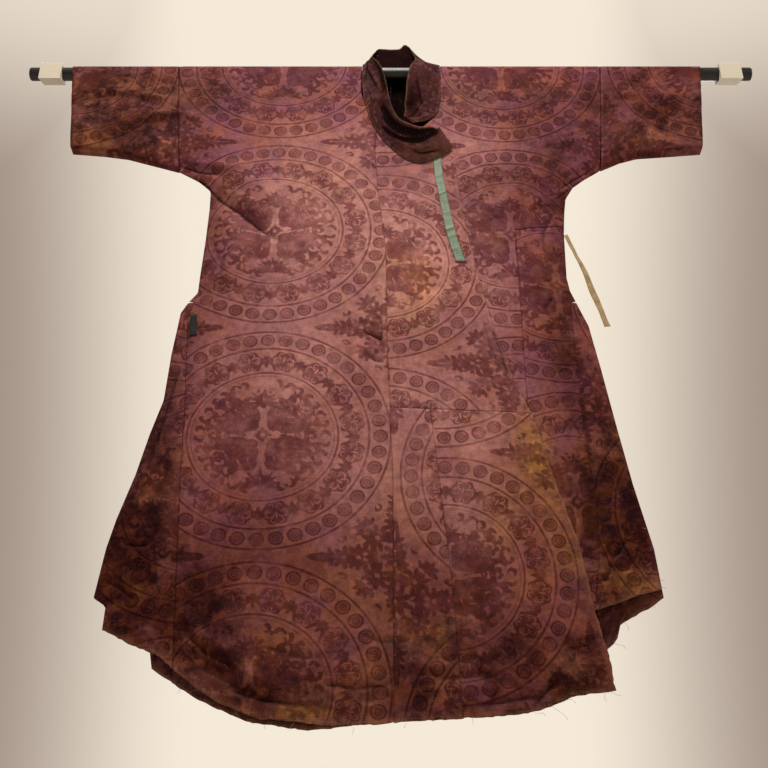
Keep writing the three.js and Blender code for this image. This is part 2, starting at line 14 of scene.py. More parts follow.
import bpy
import numpy as np
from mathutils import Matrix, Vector


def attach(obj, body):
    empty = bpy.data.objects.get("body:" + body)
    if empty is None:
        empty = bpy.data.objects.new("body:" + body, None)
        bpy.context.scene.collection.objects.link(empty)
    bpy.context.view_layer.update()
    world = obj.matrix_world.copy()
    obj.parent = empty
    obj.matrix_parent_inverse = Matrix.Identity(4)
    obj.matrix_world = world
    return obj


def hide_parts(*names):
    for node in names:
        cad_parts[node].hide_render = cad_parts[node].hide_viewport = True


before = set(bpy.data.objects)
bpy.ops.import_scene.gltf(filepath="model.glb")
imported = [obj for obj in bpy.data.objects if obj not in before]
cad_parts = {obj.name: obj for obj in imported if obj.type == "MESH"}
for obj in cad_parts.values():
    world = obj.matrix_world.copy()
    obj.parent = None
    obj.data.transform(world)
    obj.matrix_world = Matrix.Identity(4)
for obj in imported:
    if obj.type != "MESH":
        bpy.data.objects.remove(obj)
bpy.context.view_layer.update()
scene = bpy.context.scene
print("frame:", len(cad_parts), "solids")

# %% [markdown]
# ## The camera
#
# The robe is seen from low down, with the camera tilted up by 30 degrees. A camera that is tilted, and not
# shifted, gives the slight narrowing towards the top. The lens is a mild telephoto, so that nothing bulges.

# %% Camera
CAMERA_PLACE = (-0.014, -1.78045, -1.78108)
CAMERA_TILT = 120
LENS = 54.14

camera = bpy.data.objects.new("camera", bpy.data.cameras.new("camera"))
scene.collection.objects.link(camera)
camera.location = CAMERA_PLACE
camera.rotation_euler = (math.radians(CAMERA_TILT), 0, 0)
camera.data.lens = LENS
camera.data.sensor_width = 36
camera.data.clip_end = 50
scene.camera = camera
print("camera at", CAMERA_PLACE)

# %% [markdown]
# ## The flat cut
#
# A tailor's pattern is a set of lines. Here each line down the cloth is a short table of (drop, x), where
# the drop is the distance down the cloth from the shoulder fold, and each line across it is a table of (x,
# drop). Tables of this kind are easy to read and to correct, where a drawn curve would need its own file.

# %% Lines down the cut
ROD_FOLD = 14.8                           # inside radius of the cloth over the rod
ARC = ROD_FOLD * math.pi / 2              # drop at which the cloth leaves the rod

SLEEVE_SEAM_RIGHT = [(0, -446), (290, -421)]
SLEEVE_SEAM_LEFT = [(0, 441), (286, 417)]
SIDE_RIGHT = [
    (290, -421), (315, -380), (339, -355), (384, -354), (462, -356), (545, -360), (581, -361), (601, -376),
    (626, -389), (716, -398), (810, -403), (879, -421), (955, -437), (1037, -460), (1089, -471), (1174, -481),
    (1188, -460), (1228, -461),
]
SIDE_LEFT = [
    (286, 417), (309, 383), (330, 358), (358, 342), (392, 337), (443, 332), (547, 329), (577, 333),
    (654, 361), (745, 375), (860, 391), (974, 408), (1090, 430), (1160, 435),
]
NECK_RIGHT = [(0, -60), (94, -61), (127, -51), (198, -29), (248, -32)]
NECK_LEFT = [(0, 104), (111, 102), (146, 94), (173, 75), (221, 28), (262, -42)]
CENTRE_SEAM = [(248, -32), (348, -26), (504, -10), (673, -9), (972, 1), (1375, 1)]
OVERLAP_EDGE = [
    (248, 124), (387, 135), (459, 146), (522, 157), (656, 181), (768, 213), (856, 246), (983, 276),
    (1082, 304), (1202, 321), (1262, 335), (1326, 342),
]
STRIP_SEAM = [(832, 66), (1118, 93), (1369, 107)]
GORE_SEAM_RIGHT = [(604, -366), (641, -374), (749, -368), (858, -361), (1010, -356), (1288, -342)]
GORE_SEAM_LEFT = [(604, 332), (673, 331), (877, 333), (1009, 343), (1115, 336), (1199, 322)]
PATCH_SEAM = [(0, 237), (818, 237), (1247, 230)]
UNDER_EDGE = [(262, -42), (1345, -42)]
BACK_GORE_RIGHT = [(604, -362), (858, -361), (1300, -345)]
BACK_GORE_LEFT = [(604, 330), (877, 333), (1240, 324)]
CENTRE_BACK = [(0, 0), (1380, 0)]
BACK_SIDE_LEFT = SIDE_LEFT + [(1172, 436)]

# %% Lines across the cut
HEM_OUTER = [
    (-460, 1228), (-430, 1244), (-402, 1257), (-374, 1268), (-366, 1272), (-315, 1313), (-262, 1348),
    (-202, 1369), (-91, 1380), (1, 1375), (104, 1369), (183, 1364), (224, 1357), (275, 1335),
    (342, 1326),
]
HEM_UNDER = [(-42, 1345), (230, 1247), (322, 1199), (363, 1185), (400, 1170), (431, 1160)]
HEM_BACK = [
    (-460, 1222), (-436, 1236), (-408, 1249), (-381, 1261), (-378, 1286), (-300, 1336), (-225, 1369),
    (-128, 1381), (-3, 1369), (134, 1341), (261, 1297), (338, 1256), (356, 1242), (361, 1217),
    (397, 1196), (418, 1185), (436, 1172),
]
CROSS_SEAM = [(-4, 832), (242, 844)]
PATCH_TOP = [(236, 443), (333, 428)]
GORE_TOP = 604
OVERLAP_TOP = 248
UNDER_NECK_END = 262
NECK_MIDDLE = 22
NECK_HALF = 82
NECK_DIP = 7


def table_line(table):
    """A line through a table's rows, level beyond its ends."""
    places, values = np.array(table, float).T
    return lambda place: np.interp(place, places, values)


def level(drop):
    """A line straight across the cut."""
    return lambda x: np.asarray(x, float) * 0 + drop


def joined(upper, lower, change):
    """One line down the cut above a change, and another below it."""
    return lambda drop: np.where(np.asarray(drop) < change, upper(drop), lower(drop))


def back_neck(x):
    """The back neckline dips a little below the shoulder fold."""
    return NECK_DIP * np.maximum(0, 1 - ((np.asarray(x, float) - NECK_MIDDLE) / NECK_HALF) ** 2)


side_right = joined(table_line(SLEEVE_SEAM_RIGHT), table_line(SIDE_RIGHT), SIDE_RIGHT[0][0])
side_left = joined(table_line(SLEEVE_SEAM_LEFT), table_line(SIDE_LEFT), SIDE_LEFT[0][0])
neck_and_centre = joined(table_line(NECK_RIGHT), table_line(CENTRE_SEAM), OVERLAP_TOP)
neck_and_under_edge = joined(table_line(NECK_LEFT), table_line(UNDER_EDGE), UNDER_NECK_END)
print("points of the two side lines:", len(SIDE_RIGHT) + len(SIDE_LEFT))

# %% [markdown]
# ## Folds and creases
#
# A crease in hung cloth is a soft ridge or trough that starts and ends somewhere. Each is a short path with
# a width and a height in millimetres, positive outwards, and fades towards its ends. The long folds are
# those of the solids; the creases are finer and are placed one by one: at the armpits, at the waist, on the
# sleeves and near the hem.

# %% Long folds: face, x, z, angle, length, width, height
FRONT, BACK = -1, 1
FOLDS = [
    (FRONT, -296, -370, -41, 220, 30, -7), (FRONT, -272, -312, -38, 220, 28, 5),
    (FRONT, 290, -362, 50, 190, 30, -6), (FRONT, 238, -330, 46, 190, 30, 4),
    (FRONT, -200, -900, 86, 640, 60, 4), (FRONT, -85, -980, 89, 560, 50, -4),
    (FRONT, 165, -1040, 98, 460, 55, 4), (FRONT, -395, -980, 78, 320, 40, 5),
    (FRONT, -565, -110, 4, 200, 30, -4), (FRONT, 545, -120, -5, 190, 30, -4),
    (BACK, -285, -370, -42, 220, 32, -6), (BACK, 275, -365, 44, 220, 32, -6),
    (BACK, -170, -900, 86, 640, 60, 3), (BACK, 140, -860, 94, 600, 60, 3),
]

# %% Fine creases: face, path of (x, z), width, height
CREASES = [
    (FRONT, [(-410, -262), (-365, -302), (-333, -342), (-292, -376), (-247, -419), (-201, -460)], 9, -4.5),
    (FRONT, [(-385, -262), (-330, -312), (-285, -352), (-230, -400)], 11, 3.2),
    (FRONT, [(-424, -252), (-383, -271), (-329, -284)], 6.5, -5.0),
    (FRONT, [(-420, -240), (-375, -256), (-320, -268), (-270, -266)], 8, 2.4),
    (FRONT, [(-340, -380), (-310, -420), (-300, -475)], 10, 2.6),
    (FRONT, [(-345, -430), (-318, -500), (-322, -560)], 8, -2.2),
    (FRONT, [(-657, -73), (-621, -62), (-532, -62), (-462, -85), (-441, -90)], 7, 3.0),
    (FRONT, [(-650, -88), (-600, -80), (-530, -80), (-470, -100)], 7, -2.6),
    (FRONT, [(-588, -201), (-543, -153), (-493, -126), (-432, -126), (-390, -134)], 8, 3.2),
    (FRONT, [(-570, -212), (-530, -172), (-490, -148), (-440, -146)], 7, -2.8),
    (FRONT, [(-640, -150), (-600, -170), (-560, -200)], 7, 2.0),
    (FRONT, [(-480, -180), (-450, -215), (-430, -250)], 7, 2.4),
    (FRONT, [(325, -322), (336, -309), (372, -282), (414, -251)], 5, -5.0),
    (FRONT, [(315, -300), (352, -272), (400, -238)], 8, 3.2),
    (FRONT, [(325, -335), (352, -310)], 4, -4.0),
    (FRONT, [(300, -330), (270, -372), (262, -430)], 10, 2.6),
    (FRONT, [(318, -360), (292, -420), (288, -480)], 7, -2.4),
    (FRONT, [(440, -80), (500, -70), (570, -78), (640, -70)], 8, 2.4),
    (FRONT, [(430, -140), (480, -150), (540, -190), (570, -215)], 8, 2.8),
    (FRONT, [(450, -170), (500, -196), (530, -224)], 6, -2.6),
    (FRONT, [(600, -110), (560, -140), (545, -180)], 7, -2.0),
    (FRONT, [(-50, -650), (-34, -660), (-14, -670)], 4.5, -4.2),
    (FRONT, [(-62, -622), (-36, -633), (-8, -633)], 5, 2.2),
    (FRONT, [(-56, -684), (-34, -690), (-10, -692)], 5, 2.0),
    (FRONT, [(-30, -600), (-20, -640), (-14, -700)], 6, -1.8),
    (FRONT, [(281, -600), (290, -586), (299, -572)], 4.5, -4.2),
    (FRONT, [(60, -560), (110, -600), (150, -660)], 12, 2.0),
    (FRONT, [(20, -330), (70, -380), (90, -450)], 12, 1.8),
    (FRONT, [(-130, -240), (-110, -330), (-90, -420)], 14, 1.8),
    (FRONT, [(150, -200), (180, -260), (196, -330)], 12, 1.8),
    (FRONT, [(176, -622), (188, -668), (198, -706), (209, -752)], 5, 3.4),
    (FRONT, [(168, -640), (180, -690), (194, -742)], 6, -2.2),
    (FRONT, [(-345, -640), (-350, -760), (-372, -900)], 12, 2.4),
    (FRONT, [(-375, -700), (-398, -830), (-425, -960)], 9, -2.4),
    (FRONT, [(-330, -700), (-322, -840), (-330, -980)], 12, -2.0),
    (FRONT, [(-442, -1060), (-420, -1066), (-398, -1066)], 5.5, -4.4),
    (FRONT, [(-452, -1040), (-425, -1048), (-396, -1046)], 7, 2.8),
    (FRONT, [(-404, -846), (-402, -890), (-400, -928)], 3, -2.0),
    (FRONT, [(-300, -1240), (-237, -1271), (-158, -1302)], 8, 2.6),
    (FRONT, [(-310, -1262), (-250, -1292), (-180, -1322)], 6, -2.2),
    (FRONT, [(-355, -1159), (-302, -1214), (-246, -1252)], 8, 2.4),
    (FRONT, [(-142, -1317), (-66, -1332), (-5, -1326)], 6, 2.2),
    (FRONT, [(11, -1259), (88, -1268), (166, -1262)], 7, 2.4),
    (FRONT, [(20, -1274), (90, -1284), (170, -1276)], 6, -2.0),
    (FRONT, [(41, -1306), (118, -1296), (194, -1304)], 7, 2.4),
    (FRONT, [(60, -1180), (120, -1150), (200, -1160)], 12, 1.8),
    (FRONT, [(252, -1288), (232, -1308), (212, -1329)], 6, -4.2),
    (FRONT, [(262, -1270), (280, -1290), (296, -1296)], 8, 2.6),
    (FRONT, [(255, -690), (290, -800), (296, -930)], 12, 2.0),
    (FRONT, [(350, -700), (352, -850), (376, -1000)], 10, 2.2),
    (FRONT, [(330, -760), (340, -900), (352, -1060)], 8, -2.0),
    (FRONT, [(330, -1110), (368, -1118), (410, -1106)], 6, 2.4),
    (FRONT, [(180, -640), (194, -692), (207, -748)], 5, -3.6),
    (FRONT, [(352, -1090), (372, -1074), (384, -1052)], 5, -3.4),
    (FRONT, [(338, -1130), (350, -1112), (356, -1090)], 5, -3.2),
    (FRONT, [(380, -1100), (396, -1086), (404, -1064)], 5, -3.0),
    (FRONT, [(346, -1060), (362, -1044), (366, -1020)], 6, 2.4),
    (FRONT, [(-262, -1296), (-200, -1318), (-130, -1326)], 5, -3.4),
    (FRONT, [(-120, -1290), (-60, -1300), (0, -1294)], 5, -3.0),
    (FRONT, [(-330, -1210), (-290, -1246), (-240, -1272)], 5, -3.2),
    (FRONT, [(-210, -1230), (-150, -1250), (-90, -1252)], 6, -2.4),
    (FRONT, [(120, -1328), (180, -1318), (236, -1310)], 5, -3.4),
    (FRONT, [(-60, -1210), (-20, -1226), (30, -1224)], 5, -2.4),
    (FRONT, [(-470, -1120), (-440, -1136), (-410, -1160)], 5, -3.2),
    (FRONT, [(-46, -700), (-30, -712), (-12, -716)], 5, -3.0),
    (BACK, [(-400, -268), (-340, -330), (-280, -390), (-215, -440)], 10, -4.0),
    (BACK, [(-380, -260), (-310, -320), (-240, -370)], 11, 3.0),
    (BACK, [(396, -262), (335, -325), (270, -385), (210, -450)], 10, -4.0),
    (BACK, [(372, -256), (300, -318), (230, -360)], 11, 3.0),
    (BACK, [(-610, -90), (-540, -82), (-470, -100)], 8, 2.8),
    (BACK, [(-580, -190), (-520, -150), (-440, -140)], 8, 2.8),
    (BACK, [(600, -100), (530, -86), (450, -100)], 8, 2.6),
    (BACK, [(560, -200), (500, -160), (430, -144)], 8, 2.8),
    (BACK, [(-120, -60), (-90, -160), (-96, -260)], 14, 2.2),
    (BACK, [(110, -50), (84, -150), (92, -280)], 14, 2.0),
    (BACK, [(-20, -420), (40, -470), (120, -480)], 12, 1.8),
    (BACK, [(-300, -560), (-312, -700), (-340, -850)], 12, 2.4),
    (BACK, [(290, -560), (300, -720), (330, -880)], 12, 2.2),
    (BACK, [(-60, -620), (-70, -800), (-40, -980)], 16, 2.0),
    (BACK, [(60, -700), (84, -900), (70, -1080)], 16, 2.2),
    (BACK, [(-380, -900), (-400, -1040), (-420, -1160)], 11, 2.4),
    (BACK, [(350, -880), (372, -1010), (392, -1120)], 11, 2.2),
    (BACK, [(-240, -1240), (-150, -1290), (-60, -1300)], 8, 2.4),
    (BACK, [(40, -1260), (130, -1250), (220, -1210)], 8, 2.2),
    (BACK, [(-330, -1180), (-260, -1240), (-200, -1262)], 8, -2.0),
]
CREASE_DEPTH = 1.3                        # all fine creases are this much deeper than listed
FOLDS_BEGIN = 15                          # below the rod's axis by this much, folds start to show
FOLDS_FULL = 60                           # and this much further down they have their full height
SLIT_WIDTH = 0.42                         # width of the dark line in a closed trough, as a share of the crease
DARKEST_SLIT = 1.7
print("long folds:", len(FOLDS), " fine creases:", len(CREASES))


# %% How far the cloth swells at a place
def soft(t):
    """0 before 0, 1 after 1, and smooth between."""
    t = np.clip(t, 0, 1)
    return t * t * (3 - 2 * t)


def to_path(x, z, path):
    """Distance of points to a path, and how far along it they are, from 0 to 1."""
    points = np.array(path, float)
    lengths = np.hypot(*np.diff(points, axis=0).T)
    ends = np.concatenate([[0], np.cumsum(lengths)]) / lengths.sum()
    nearest = np.full(np.shape(x), np.inf)
    along = np.zeros(np.shape(x))
    for i, length in enumerate(lengths):
        (x0, z0), (x1, z1) = points[i], points[i + 1]
        t = np.clip(((x - x0) * (x1 - x0) + (z - z0) * (z1 - z0)) / length**2, 0, 1)
        distance = np.hypot(x - x0 - t * (x1 - x0), z - z0 - t * (z1 - z0))
        closer = distance < nearest
        nearest = np.where(closer, distance, nearest)
        along = np.where(closer, ends[i] + t * (ends[i + 1] - ends[i]), along)
    return nearest, along


def swell(x, z, face):
    """Height of all folds and creases at points of one face."""
    height = np.zeros(np.shape(x))
    for side, fx, fz, angle, length, width, tall in FOLDS:
        if side != face:
            continue
        c, s = math.cos(math.radians(angle)), math.sin(math.radians(angle))
        run = (x - fx) * c + (z - fz) * s
        across = (z - fz) * c - (x - fx) * s
        height += tall * (1 - soft((np.abs(run) / length - 0.25) * 4)) * np.exp(-((across / width) ** 2))
    for side, path, width, tall in CREASES:
        if side != face:
            continue
        distance, along = to_path(x, z, path)
        fade = soft(along * 5) * soft((1 - along) * 5)
        height += CREASE_DEPTH * tall * fade * np.exp(-((distance / width) ** 2))
    return height * soft((-z - FOLDS_BEGIN) / FOLDS_FULL)


def slits(x, z, face):
    """How deep in shadow points lie, where a narrow trough has closed on itself."""
    depth = np.zeros(np.shape(x))
    for side, path, width, tall in CREASES:
        if side == face and tall < 0 and width < 10:
            distance, along = to_path(x, z, path)
            fade = soft(along * 5) * soft((1 - along) * 5)
            depth += np.minimum(1.6, -tall / 2.6) * fade * np.exp(-((distance / (SLIT_WIDTH * width)) ** 2))
    return np.minimum(depth, DARKEST_SLIT) * soft((-z - FOLDS_BEGIN) / FOLDS_FULL)


# %% [markdown]
# ## Hanging the cut
#
# One formula takes a flat point of the cut to its place in the air. Near the shoulder it turns with the
# rod. Below it hangs straight down, at a depth that is largest in the middle of the body and falls to
# nothing at the two sides, where the front and the back are sewn together. The outer front lies one layer
# further out than the under front.

# %% Hang points of the cut
LAP = 3.2                                 # the outer front lies this much further out
LAP_FULL = 105                            # and reaches that this far below where the folds begin
SIDE_GAP = 0.15                           # half the gap between front and back at the side seams
HEM_HALF_DEPTH = 8
HEM_DEPTH_DROP = 1370
EDGE_WIDTH = 80


def fullness(x, drop):
    """0 at the side seams and 1 away from them."""
    right, _ = to_path(drop, x, SIDE_RIGHT)
    left, _ = to_path(drop, x, SIDE_LEFT)
    edge = np.minimum(right, left)
    low = drop > SIDE_RIGHT[0][0]
    outside = low & ((x < table_line(SIDE_RIGHT)(drop)) | (x > table_line(SIDE_LEFT)(drop)))
    return np.where(outside, 0, np.sin(math.pi / 2 * np.minimum(1, edge / EDGE_WIDTH)))


def hang(x, drop, face, out, lap=0.0):
    """Points of the cut hung on the rod, in metres; out is the distance out from the lowest layer's inside."""
    turn = np.minimum(drop, ARC) / ROD_FOLD
    z = ARC - drop
    half = ROD_FOLD + (HEM_HALF_DEPTH - ROD_FOLD) * np.clip(-z / HEM_DEPTH_DROP, 0, 1)
    layer = lap * soft((-z - FOLDS_BEGIN) / LAP_FULL)
    depth = (half + layer + swell(x, z, face)) * fullness(x, drop)
    over_rod = drop < ARC
    y = np.where(over_rod, (ROD_FOLD + out) * np.sin(turn), SIDE_GAP + depth + out)
    height = np.where(over_rod, (ROD_FOLD + out) * np.cos(turn), z)
    return np.stack([x, face * y, height], axis=-1) / 1000


print("a point 300 mm down the front hangs at", hang(np.array([0.0]), np.array([300.0]), FRONT, 0).round(4))

# %% [markdown]
# ## The woven pattern's large motifs
#
# The silk is woven with rows of pearl roundels, with a leafy field inside each and flowers between them.
# Rings and pearls are drawn later by shader nodes, which stay sharp at any size. The leafy motifs have no
# formula, so they are built up here from many small leaf shapes, as a paper-cut would be, and each point of
# the cloth remembers how far it is from the nearest one. The shader turns that distance into a clean edge.

# %% One roundel and the flowers round it, as leaves: x, y, half width, half length, angle
PITCH = 441.0                             # from one roundel's middle to the next
FIELD_RADIUS, ROUNDEL_RADIUS = 115, 213
FAR_FROM_LEAF = 20.0                      # distance that counts as having no leaf near


def leaf_fan(x, y, towards, spread, count, reach, width, length):
    """Leaves that open like a fan from one point."""
    leaves = []
    for k in range(count):
        angle = towards + spread * (k / (count - 1) - 0.5)
        a = math.radians(angle)
        leaves.append((x + reach * math.cos(a), y + reach * math.sin(a), width, length, angle - 90))
    return leaves


def mirrored(leaves):
    """The same leaves on both sides of the upright axis."""
    return leaves + [(-x, y, w, l, -angle) for x, y, w, l, angle in leaves]


def hooks(radius, count, start, width, length):
    """Curled leaves in a circle, and the cuts that make each of them a hook."""
    leaves, cuts = [], []
    for k in range(count):
        around = start + k * 360 / count
        a = math.radians(around)
        if abs(math.cos(a)) < 0.16:
            continue
        lean = 1 if (k % 2) == (math.cos(a) > 0) else -1
        leaves.append((radius * math.cos(a), radius * math.sin(a), width, length, around - 90 + 24 * lean))
        b = a + lean * 0.5 * width / radius
        cuts.append(((radius - 1.5) * math.cos(b), (radius - 1.5) * math.sin(b),
                     width * 0.5, length * 0.6, around - 90 + 40 * lean))
    return leaves, cuts


# Dark masses in the four quarters, and the thin light strokes that part them
QUARTERS = mirrored([
    (45, 36, 40, 33, 0), (24, 58, 18, 15, 0), (77, 22, 18, 19, 0), (60, 60, 24, 16, -35),
    (18, 20, 11, 13, 0), (45, -35, 40, 32, 0), (24, -54, 18, 14, 0), (77, -21, 18, 18, 0),
    (60, -57, 24, 16, 35), (18, -19, 11, 12, 0),
])
STROKES = [(0, 74, 25, 25, 0), (0, -85, 25, 24, 0), (0, 0, 17, 13, 0), (0, 0, 62, 2.2, 0)] + mirrored([
    (21, 50, 1.4, 12, -14), (34, 62, 1.3, 8, 30), (58, 42, 1.3, 9, 34), (50, 24, 9, 1.2, 8),
    (76, 46, 1.5, 8, -48), (62, 60, 1.3, 7, -20), (46, 50, 1.2, 7, 16), (34, 40, 1.2, 8, -40),
    (21, -44, 1.4, 11, 16), (36, -52, 1.3, 8, -30), (58, -38, 1.3, 9, -30), (50, -22, 9, 1.2, -8),
    (76, -42, 1.5, 8, 46), (62, -54, 1.3, 7, 22), (34, -36, 1.1, 8, 38), (44, 35, 8, 1.0, 0),
    (62, -30, 8, 1.0, 4), (66, 34, 7, 1.0, -6), (40, -48, 7, 1.0, 0),
])
CURLS, CURL_HEARTS = hooks(85, 26, 9, 5.6, 8.0)

# Flames above and below the middle, small stars beside it, and a fringe of dark hooks
FLAMES = [(0, 0, 10, 10, 0), (0, 0, 4, 15, 0), (0, 0, 15, 3.5, 0), (0, 66, 8, 14, 0), (0, -86, 8, 14, 0)]
FLAMES += leaf_fan(0, 64, 90, 236, 11, 16, 2.8, 12) + leaf_fan(0, -95, 90, 200, 11, 18, 2.9, 14)
FLAMES += mirrored([(58, 0, 5.5, 5.5, 0), (72, 0, 4.5, 4.5, 0), (86, 0, 4, 4, 0), (34, 0, 9, 2, 0)])
FLAME_CUTS = [(0, 0, 4.0, 4.0, 0), (0, 70, 1.8, 6, 0), (0, -84, 1.8, 6, 0)] + mirrored([
    (58, 0, 2.2, 2.2, 0), (72, 0, 1.8, 1.8, 0), (9, 84, 1.2, 6, -24), (9, -70, 1.2, 6, -20),
])
FRINGE, FRINGE_CUTS = hooks(104, 34, 3, 6.8, 8.2)
for side in (-1, 1):
    for height in (91, -91):
        FRINGE += [(side * 42, height, 14, 7, 0), (side * 55, height * 0.9, 6, 6, 0)]
        FRINGE_CUTS += [(side * 40, height * 0.955, 10, 4.4, 0), (side * 54, height * 0.88, 2.6, 2.6, 0)]

FLOWERS = [(0, 0, 9, 9, 0)] + leaf_fan(0, 0, 20, 320, 9, 18, 4.7, 9.5)
FLOWER_CUTS = [(0, 0, 3.8, 3.8, 0)]
for k in range(4):
    corner, straight = 45 + 90 * k, 90 * k
    c, s = math.cos(math.radians(corner)), math.sin(math.radians(corner))
    FLOWERS += [(46 * c, 46 * s, 9, 9, 0)] + leaf_fan(46 * c, 46 * s, corner, 300, 9, 16, 4.1, 9)
    FLOWERS += leaf_fan(70 * c, 70 * s, corner, 150, 5, 13, 3.9, 9.5) + [(66 * c, 66 * s, 3, 9, corner - 90)]
    FLOWER_CUTS += [(46 * c, 46 * s, 4.2, 4.2, 0), (68 * c, 68 * s, 1.2, 6, corner - 90)]
    c, s = math.cos(math.radians(straight)), math.sin(math.radians(straight))
    FLOWERS += leaf_fan(33 * c, 33 * s, straight, 150, 5, 11, 3.6, 9.5)
    FLOWERS += [(36 * c, 36 * s, 2.4, 12, straight - 90)]
    FLOWERS += [(62 * c, 62 * s, 8.5, 8.5, 0), (86 * c, 86 * s, 6, 6, 0)]
    FLOWERS += leaf_fan(62 * c, 62 * s, straight, 250, 8, 15, 4.2, 8.5)
    FLOWERS += leaf_fan(84 * c, 84 * s, straight, 190, 5, 12, 3.9, 8.5)
    FLOWER_CUTS += [(62 * c, 62 * s, 4.0, 4.0, 0), (86 * c, 86 * s, 2.4, 2.4, 0)]
    FLOWERS += [(116 * c, 116 * s, 7.5, 26, straight - 90)]
    FLOWERS += leaf_fan(99 * c, 99 * s, straight, 120, 4, 11, 3.2, 9)
    FLOWER_CUTS += [(112 * c, 112 * s, 1.4, 13, straight - 90), (124 * c, 124 * s, 3.2, 1.0, straight - 90)]
    for side in (-1, 1):
        curl, turn = math.radians(straight + side * 20), straight + side * 62
        FLOWERS += [(92 * math.cos(curl), 92 * math.sin(curl), 5.5, 8, turn)]
        FLOWER_CUTS += [(94 * math.cos(curl), 94 * math.sin(curl), 2.6, 5, turn + 20)]
print("leaves in the field:", len(QUARTERS + FLAMES + FRINGE), " between roundels:", len(FLOWERS))


# %% Distance to the nearest leaf
def wrapped(value):
    """Place within one repeat of the pattern, from minus half a repeat to half."""
    return (value + PITCH / 2) % PITCH - PITCH / 2


def oval_distance(x, y, ovals):
    """Rough distance in millimetres to the edge of the nearest oval, negative inside."""
    nearest = np.full(np.shape(x), FAR_FROM_LEAF)
    for lx, ly, half_width, half_length, angle in ovals:
        c, s = math.cos(math.radians(angle)), math.sin(math.radians(angle))
        dx, dy = x - lx, y - ly
        u, v = dx * c + dy * s, dy * c - dx * s
        distance = (np.hypot(u / half_width, v / half_length) - 1) * min(half_width, half_length)
        nearest = np.minimum(nearest, distance)
    return nearest


def leaf_distance(x, y, leaves, cuts):
    """Distance to the leaves, with the cuts taken out of them."""
    return np.maximum(oval_distance(x, y, leaves), -oval_distance(x, y, cuts))


def field_distance(x, y):
    """Distance to the leafy field inside a roundel."""
    masses = leaf_distance(x, y, QUARTERS, STROKES)
    masses = np.maximum(masses, -leaf_distance(x, y, CURLS, CURL_HEARTS))
    masses = np.minimum(masses, leaf_distance(x, y, FLAMES, FLAME_CUTS))
    return np.minimum(masses, leaf_distance(x, y, FRINGE, FRINGE_CUTS))


def leafwork(u, v):
    """Distance to the leafy motifs at places of the pattern, in millimetres."""
    x, y = wrapped(u), wrapped(v)
    inside = field_distance(x, y)
    between = leaf_distance(wrapped(u + PITCH / 2), wrapped(v + PITCH / 2), FLOWERS, FLOWER_CUTS)
    from_middle = np.hypot(x, y)
    outside = np.where(from_middle > ROUNDEL_RADIUS, between, FAR_FROM_LEAF)
    return np.where(from_middle < FIELD_RADIUS, inside, outside)


# %% [markdown]
# ## Stains, fading, painted shade and painted light
#
# Old silk is never one colour. Where soiling marks the robe it is ochre or nearly black, where it faded it is
# a pale mauve. Some spots also paint light and shade: dark ones paint shade over the sleeves, and the
# strongest pale ones paint a pool of light on the chest. These areas are large and soft, so each is a spot
# with a place, two half sizes and a strength, and every point of the cloth keeps the sum. Noise in the shader
# gives them their ragged edges.

# %% Spots of stain, fading, painted shade and painted light: face, x, z, half width, half height, strength
OCHRE_SPOTS = [
    (FRONT, -410, -1129, 10, 26, 1.5), (FRONT, -439, -1164, 16, 8, 1.4), (FRONT, -156, -1336, 34, 8, 1.6),
    (FRONT, 353, -1118, 22, 16, 0.8), (FRONT, 74, -1225, 30, 50, 0.5), (FRONT, -86, -584, 10, 16, 0.5),
    (FRONT, 135, -834, 14, 8, 1.0), (FRONT, -92, -1143, 40, 40, 0.35),
    (FRONT, 62, -560, 70, 60, 0.6), (FRONT, 20, -500, 50, 60, 0.5), (FRONT, 40, -640, 60, 50, 0.35),
    (FRONT, 228, -905, 34, 70, 1.5), (FRONT, 262, -980, 26, 80, 1.3), (FRONT, 286, -1060, 26, 80, 0.9),
    (FRONT, 200, -1030, 60, 90, 0.6), (FRONT, 384, -1126, 60, 36, 1.3), (FRONT, 396, -880, 30, 60, 0.8),
    (FRONT, 330, -960, 40, 90, 0.4), (FRONT, -590, -180, 80, 45, 0.8), (FRONT, -620, -60, 60, 50, 0.6),
    (FRONT, -520, -210, 90, 40, 0.5), (FRONT, 300, -640, 40, 60, 0.5), (FRONT, 300, -520, 36, 60, 0.35),
    (FRONT, 10, -1060, 70, 120, 0.35), (FRONT, 120, -1190, 140, 70, 0.4), (FRONT, -240, -1240, 140, 70, 0.55),
    (FRONT, 20, -1240, 80, 100, 0.4), (FRONT, 290, -1290, 50, 40, 0.9), (FRONT, -120, -1330, 120, 40, 0.7),
    (FRONT, -180, -1080, 120, 70, 0.15), (FRONT, -436, -1040, 40, 70, 0.9), (FRONT, -380, -1000, 40, 120, 0.5),
    (FRONT, 520, -190, 90, 40, 0.5), (FRONT, 640, -110, 50, 100, 0.4), (FRONT, -500, -60, 120, 50, 0.5),
    (FRONT, 150, -90, 50, 70, 0.6), (FRONT, -310, -330, 40, 60, 0.35), (FRONT, -130, -300, 90, 60, 0.3),
    (BACK, -60, -620, 120, 140, 0.45), (BACK, 180, -900, 100, 120, 0.4), (BACK, -250, -1200, 150, 80, 0.5),
    (BACK, 300, -1120, 100, 70, 0.5), (BACK, -560, -180, 100, 50, 0.5), (BACK, 560, -170, 100, 50, 0.45),
]
